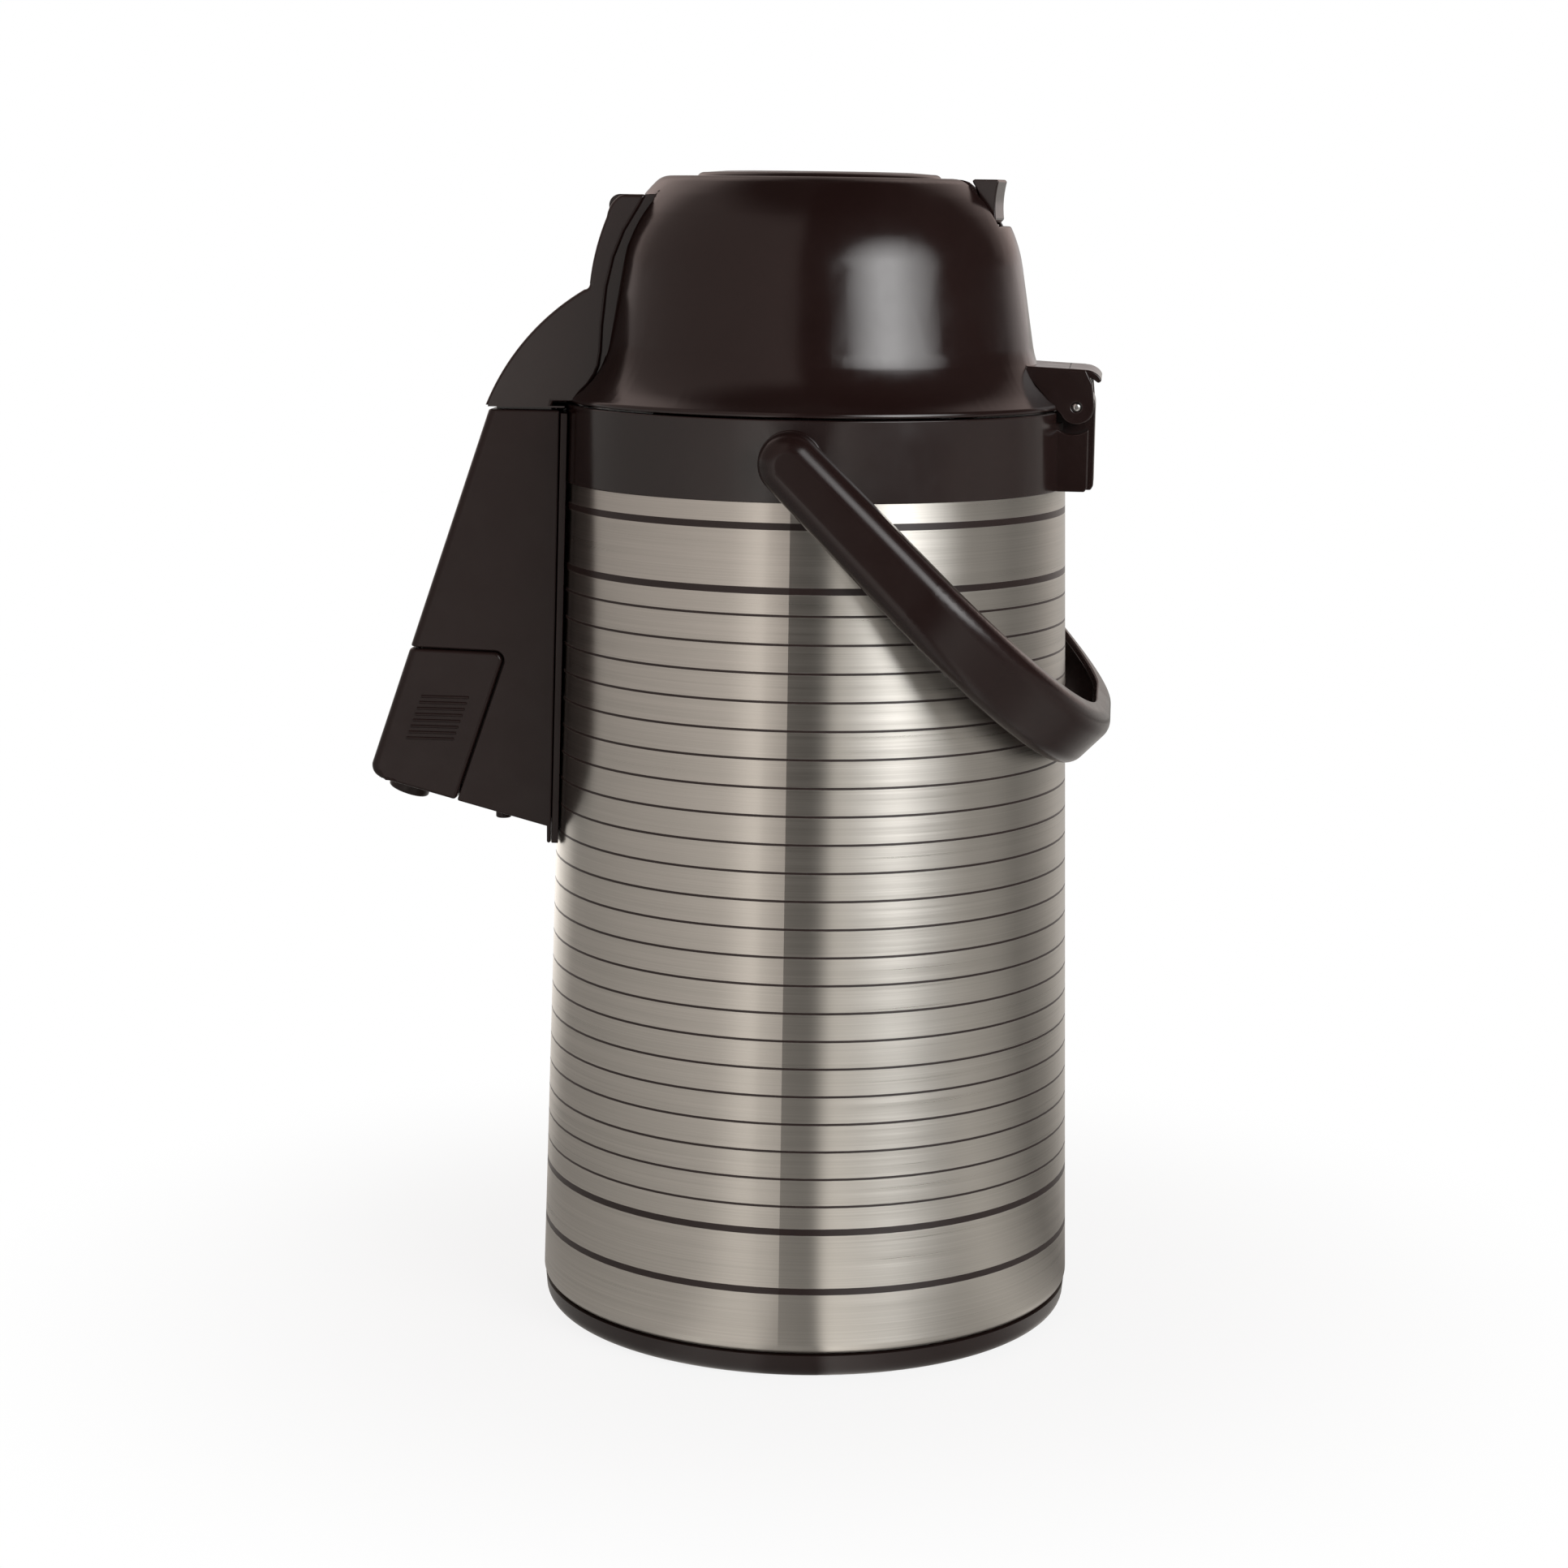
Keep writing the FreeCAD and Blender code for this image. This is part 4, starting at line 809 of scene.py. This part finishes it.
def addFloor(spec):
    disc = bmesh.new()
    bmesh.ops.create_circle(disc, cap_ends=True, radius=spec["radius"], segments=spec["sides"])
    mesh = meshOf(disc, "studioFloor")
    disc.free()
    floor = addObject("studioFloor", mesh)
    material, tree, shader = newMaterial("paleFloor")
    feed(tree, shader, spec["surface"])
    glow = addNode(tree, "ShaderNodeEmission", {"Strength": spec["glow"]})
    rays = addNode(tree, "ShaderNodeLightPath").outputs
    seen = mathNode(tree, "MAXIMUM", rays["Is Glossy Ray"], rays["Is Transmission Ray"])
    seen = mathNode(tree, "MAXIMUM", rays["Is Camera Ray"], seen)
    away = lengthOf(tree, objectPlace(tree))
    white = mapRange(tree, away, *spec["clearing"], "SMOOTHSTEP")
    mix = addNode(tree, "ShaderNodeMixShader", {
        0: mathNode(tree, "MULTIPLY", seen, white),
        1: shader.outputs[0],
        2: glow.outputs[0],
    })
    feed(tree, tree.nodes["Material Output"], {"Surface": mix.outputs[0]})
    mesh.materials.append(material)


# glowing cards round the table that only the gloss on the pot picks up: a painted reflection of a
# lit table, brighter and darker by bearing
tableReflectionCards = {
    "rings": ((0.07, 0.0006), (0.5, 0.0006), (1.6, 0.0006), (1.6, 0.33)),  # radius and height
    "sides": 120,
    "tint": (1.0, 0.95, 0.895),
    "far": (
        (-180, 2.0), (-157, 1.75), (-125, 0.38), (-99, 0.46), (-61, 0.65), (-37, 0.85),
        (-29, 1.2), (-22, 1.6), (-18, 0.65), (-12, 0.45), (-9, 0.03), (6.5, 0.03), (9, 1.0),
        (15, 0.75), (20, 0.56), (33, 0.28), (49, 0.22), (65, 0.46), (83, 0.45), (100, 0.30),
        (117, 0.36), (140, 0.57), (154, 0.58), (180, 0.62),
    ),
    "near": (
        (-180, 0.70), (-157, 0.68), (-125, 0.25), (-99, 0.29), (-61, 0.38), (-37, 0.46),
        (-25, 0.74), (-18, 0.70), (-12, 0.7), (-8, 0.40), (3, 0.28), (6, 1.1), (13, 0.88),
        (20, 0.60), (33, 0.40), (49, 0.42), (65, 0.66), (83, 0.42), (100, 0.16), (117, 0.24),
        (140, 0.50), (154, 0.68), (180, 0.8),
    ),
    "blend": (0.2, 0.95),  # metres from the pot where the near values give way to the far ones
    "edgeLevel": 0.5,  # the table's far edge lies in shade
    "edgeAway": (1.2, 1.42),
    "edgeHeight": (0.0, 0.06),
    "black": (0.0, 0.0, 0.0),
}


def addTableReflectionCards(spec):
    dish = bmesh.new()
    sides = spec["sides"]
    ways = [heading(360.0 * k / sides, 0.0) for k in range(sides)]
    rings = []
    for radius, height in spec["rings"]:
        rings.append([dish.verts.new((radius * way.x, radius * way.y, height)) for way in ways])
    for inner, outer in zip(rings, rings[1:]):
        for k in range(sides):
            after = (k + 1) % sides
            dish.faces.new((inner[k], outer[k], outer[after], inner[after]))
    mesh = meshOf(dish, "tableReflectionCards")
    dish.free()
    cards = addObject("tableReflectionCards", mesh)
    cards.visible_camera = False
    cards.visible_diffuse = False
    cards.visible_shadow = False
    cards.visible_transmission = False
    material, tree, _ = newMaterial("tableReflectionCards")
    place = objectPlace(tree)
    away = lengthOf(tree, place)
    near, height = bearingRamp(tree, place, spec["near"], spec["tint"])
    far, _ = bearingRamp(tree, place, spec["far"], spec["tint"])
    level = mixColour(tree, mapRange(tree, away, *spec["blend"], 0.0, 1.0, "SMOOTHSTEP"), near, far)
    inward = mapRange(tree, away, *spec["edgeAway"], 1.0, spec["edgeLevel"])
    above = mapRange(tree, height, *spec["edgeHeight"], spec["edgeLevel"], 1.0)
    lit = mixColour(tree, mathNode(tree, "MAXIMUM", inward, above), spec["black"], level)
    # the painted reflection glows from the cards, which are no lamp
    glow = addNode(tree, "ShaderNodeEmission", {"Color": lit})
    feed(tree, tree.nodes["Material Output"], {"Surface": glow.outputs[0]})
    material.cycles.emission_sampling = "NONE"
    mesh.materials.append(material)


# soft box as layered lamps, from a bright middle to a wide rim
softBox = {
    "name": "rightBox",
    "aim": (0.0, 0.0, 0.22),
    "away": 1.36,
    "gap": 0.005,  # between layers
    "middle": (37.7, 19.3, 0.245, 0.40),  # bearing, rise, width and height
    "rim": (41.2, 24.0, 1.45, 0.92),
    "layers": 7,
    "radiance": 8.5,  # in the middle
}


def addSoftBox(spec):
    layers = spec["layers"]
    for layer in range(layers):
        share = layer / (layers - 1)
        ends = zip(spec["middle"], spec["rim"])
        bearing, rise, width, height = (first + (last - first) * share for first, last in ends)
        way = heading(photoCamera["bearing"] + bearing, rise)
        name = spec["name"] + str(layer)
        data = bpy.data.lights.new(name, "AREA")
        data.shape = "ELLIPSE"
        data.size = width
        data.size_y = height
        area = width * height * math.pi / 4
        data.energy = spec["radiance"] / layers * math.pi * area
        lamp = addObject(name, data)
        lamp.location = Vector(spec["aim"]) + way * (spec["away"] + spec["gap"] * layer)
        lamp.rotation_euler = way.to_track_quat("Z", "Y").to_euler()


addRoom(studioRoom)
addFloor(studioFloor)
addTableReflectionCards(tableReflectionCards)
addSoftBox(softBox)
print("studio lit")
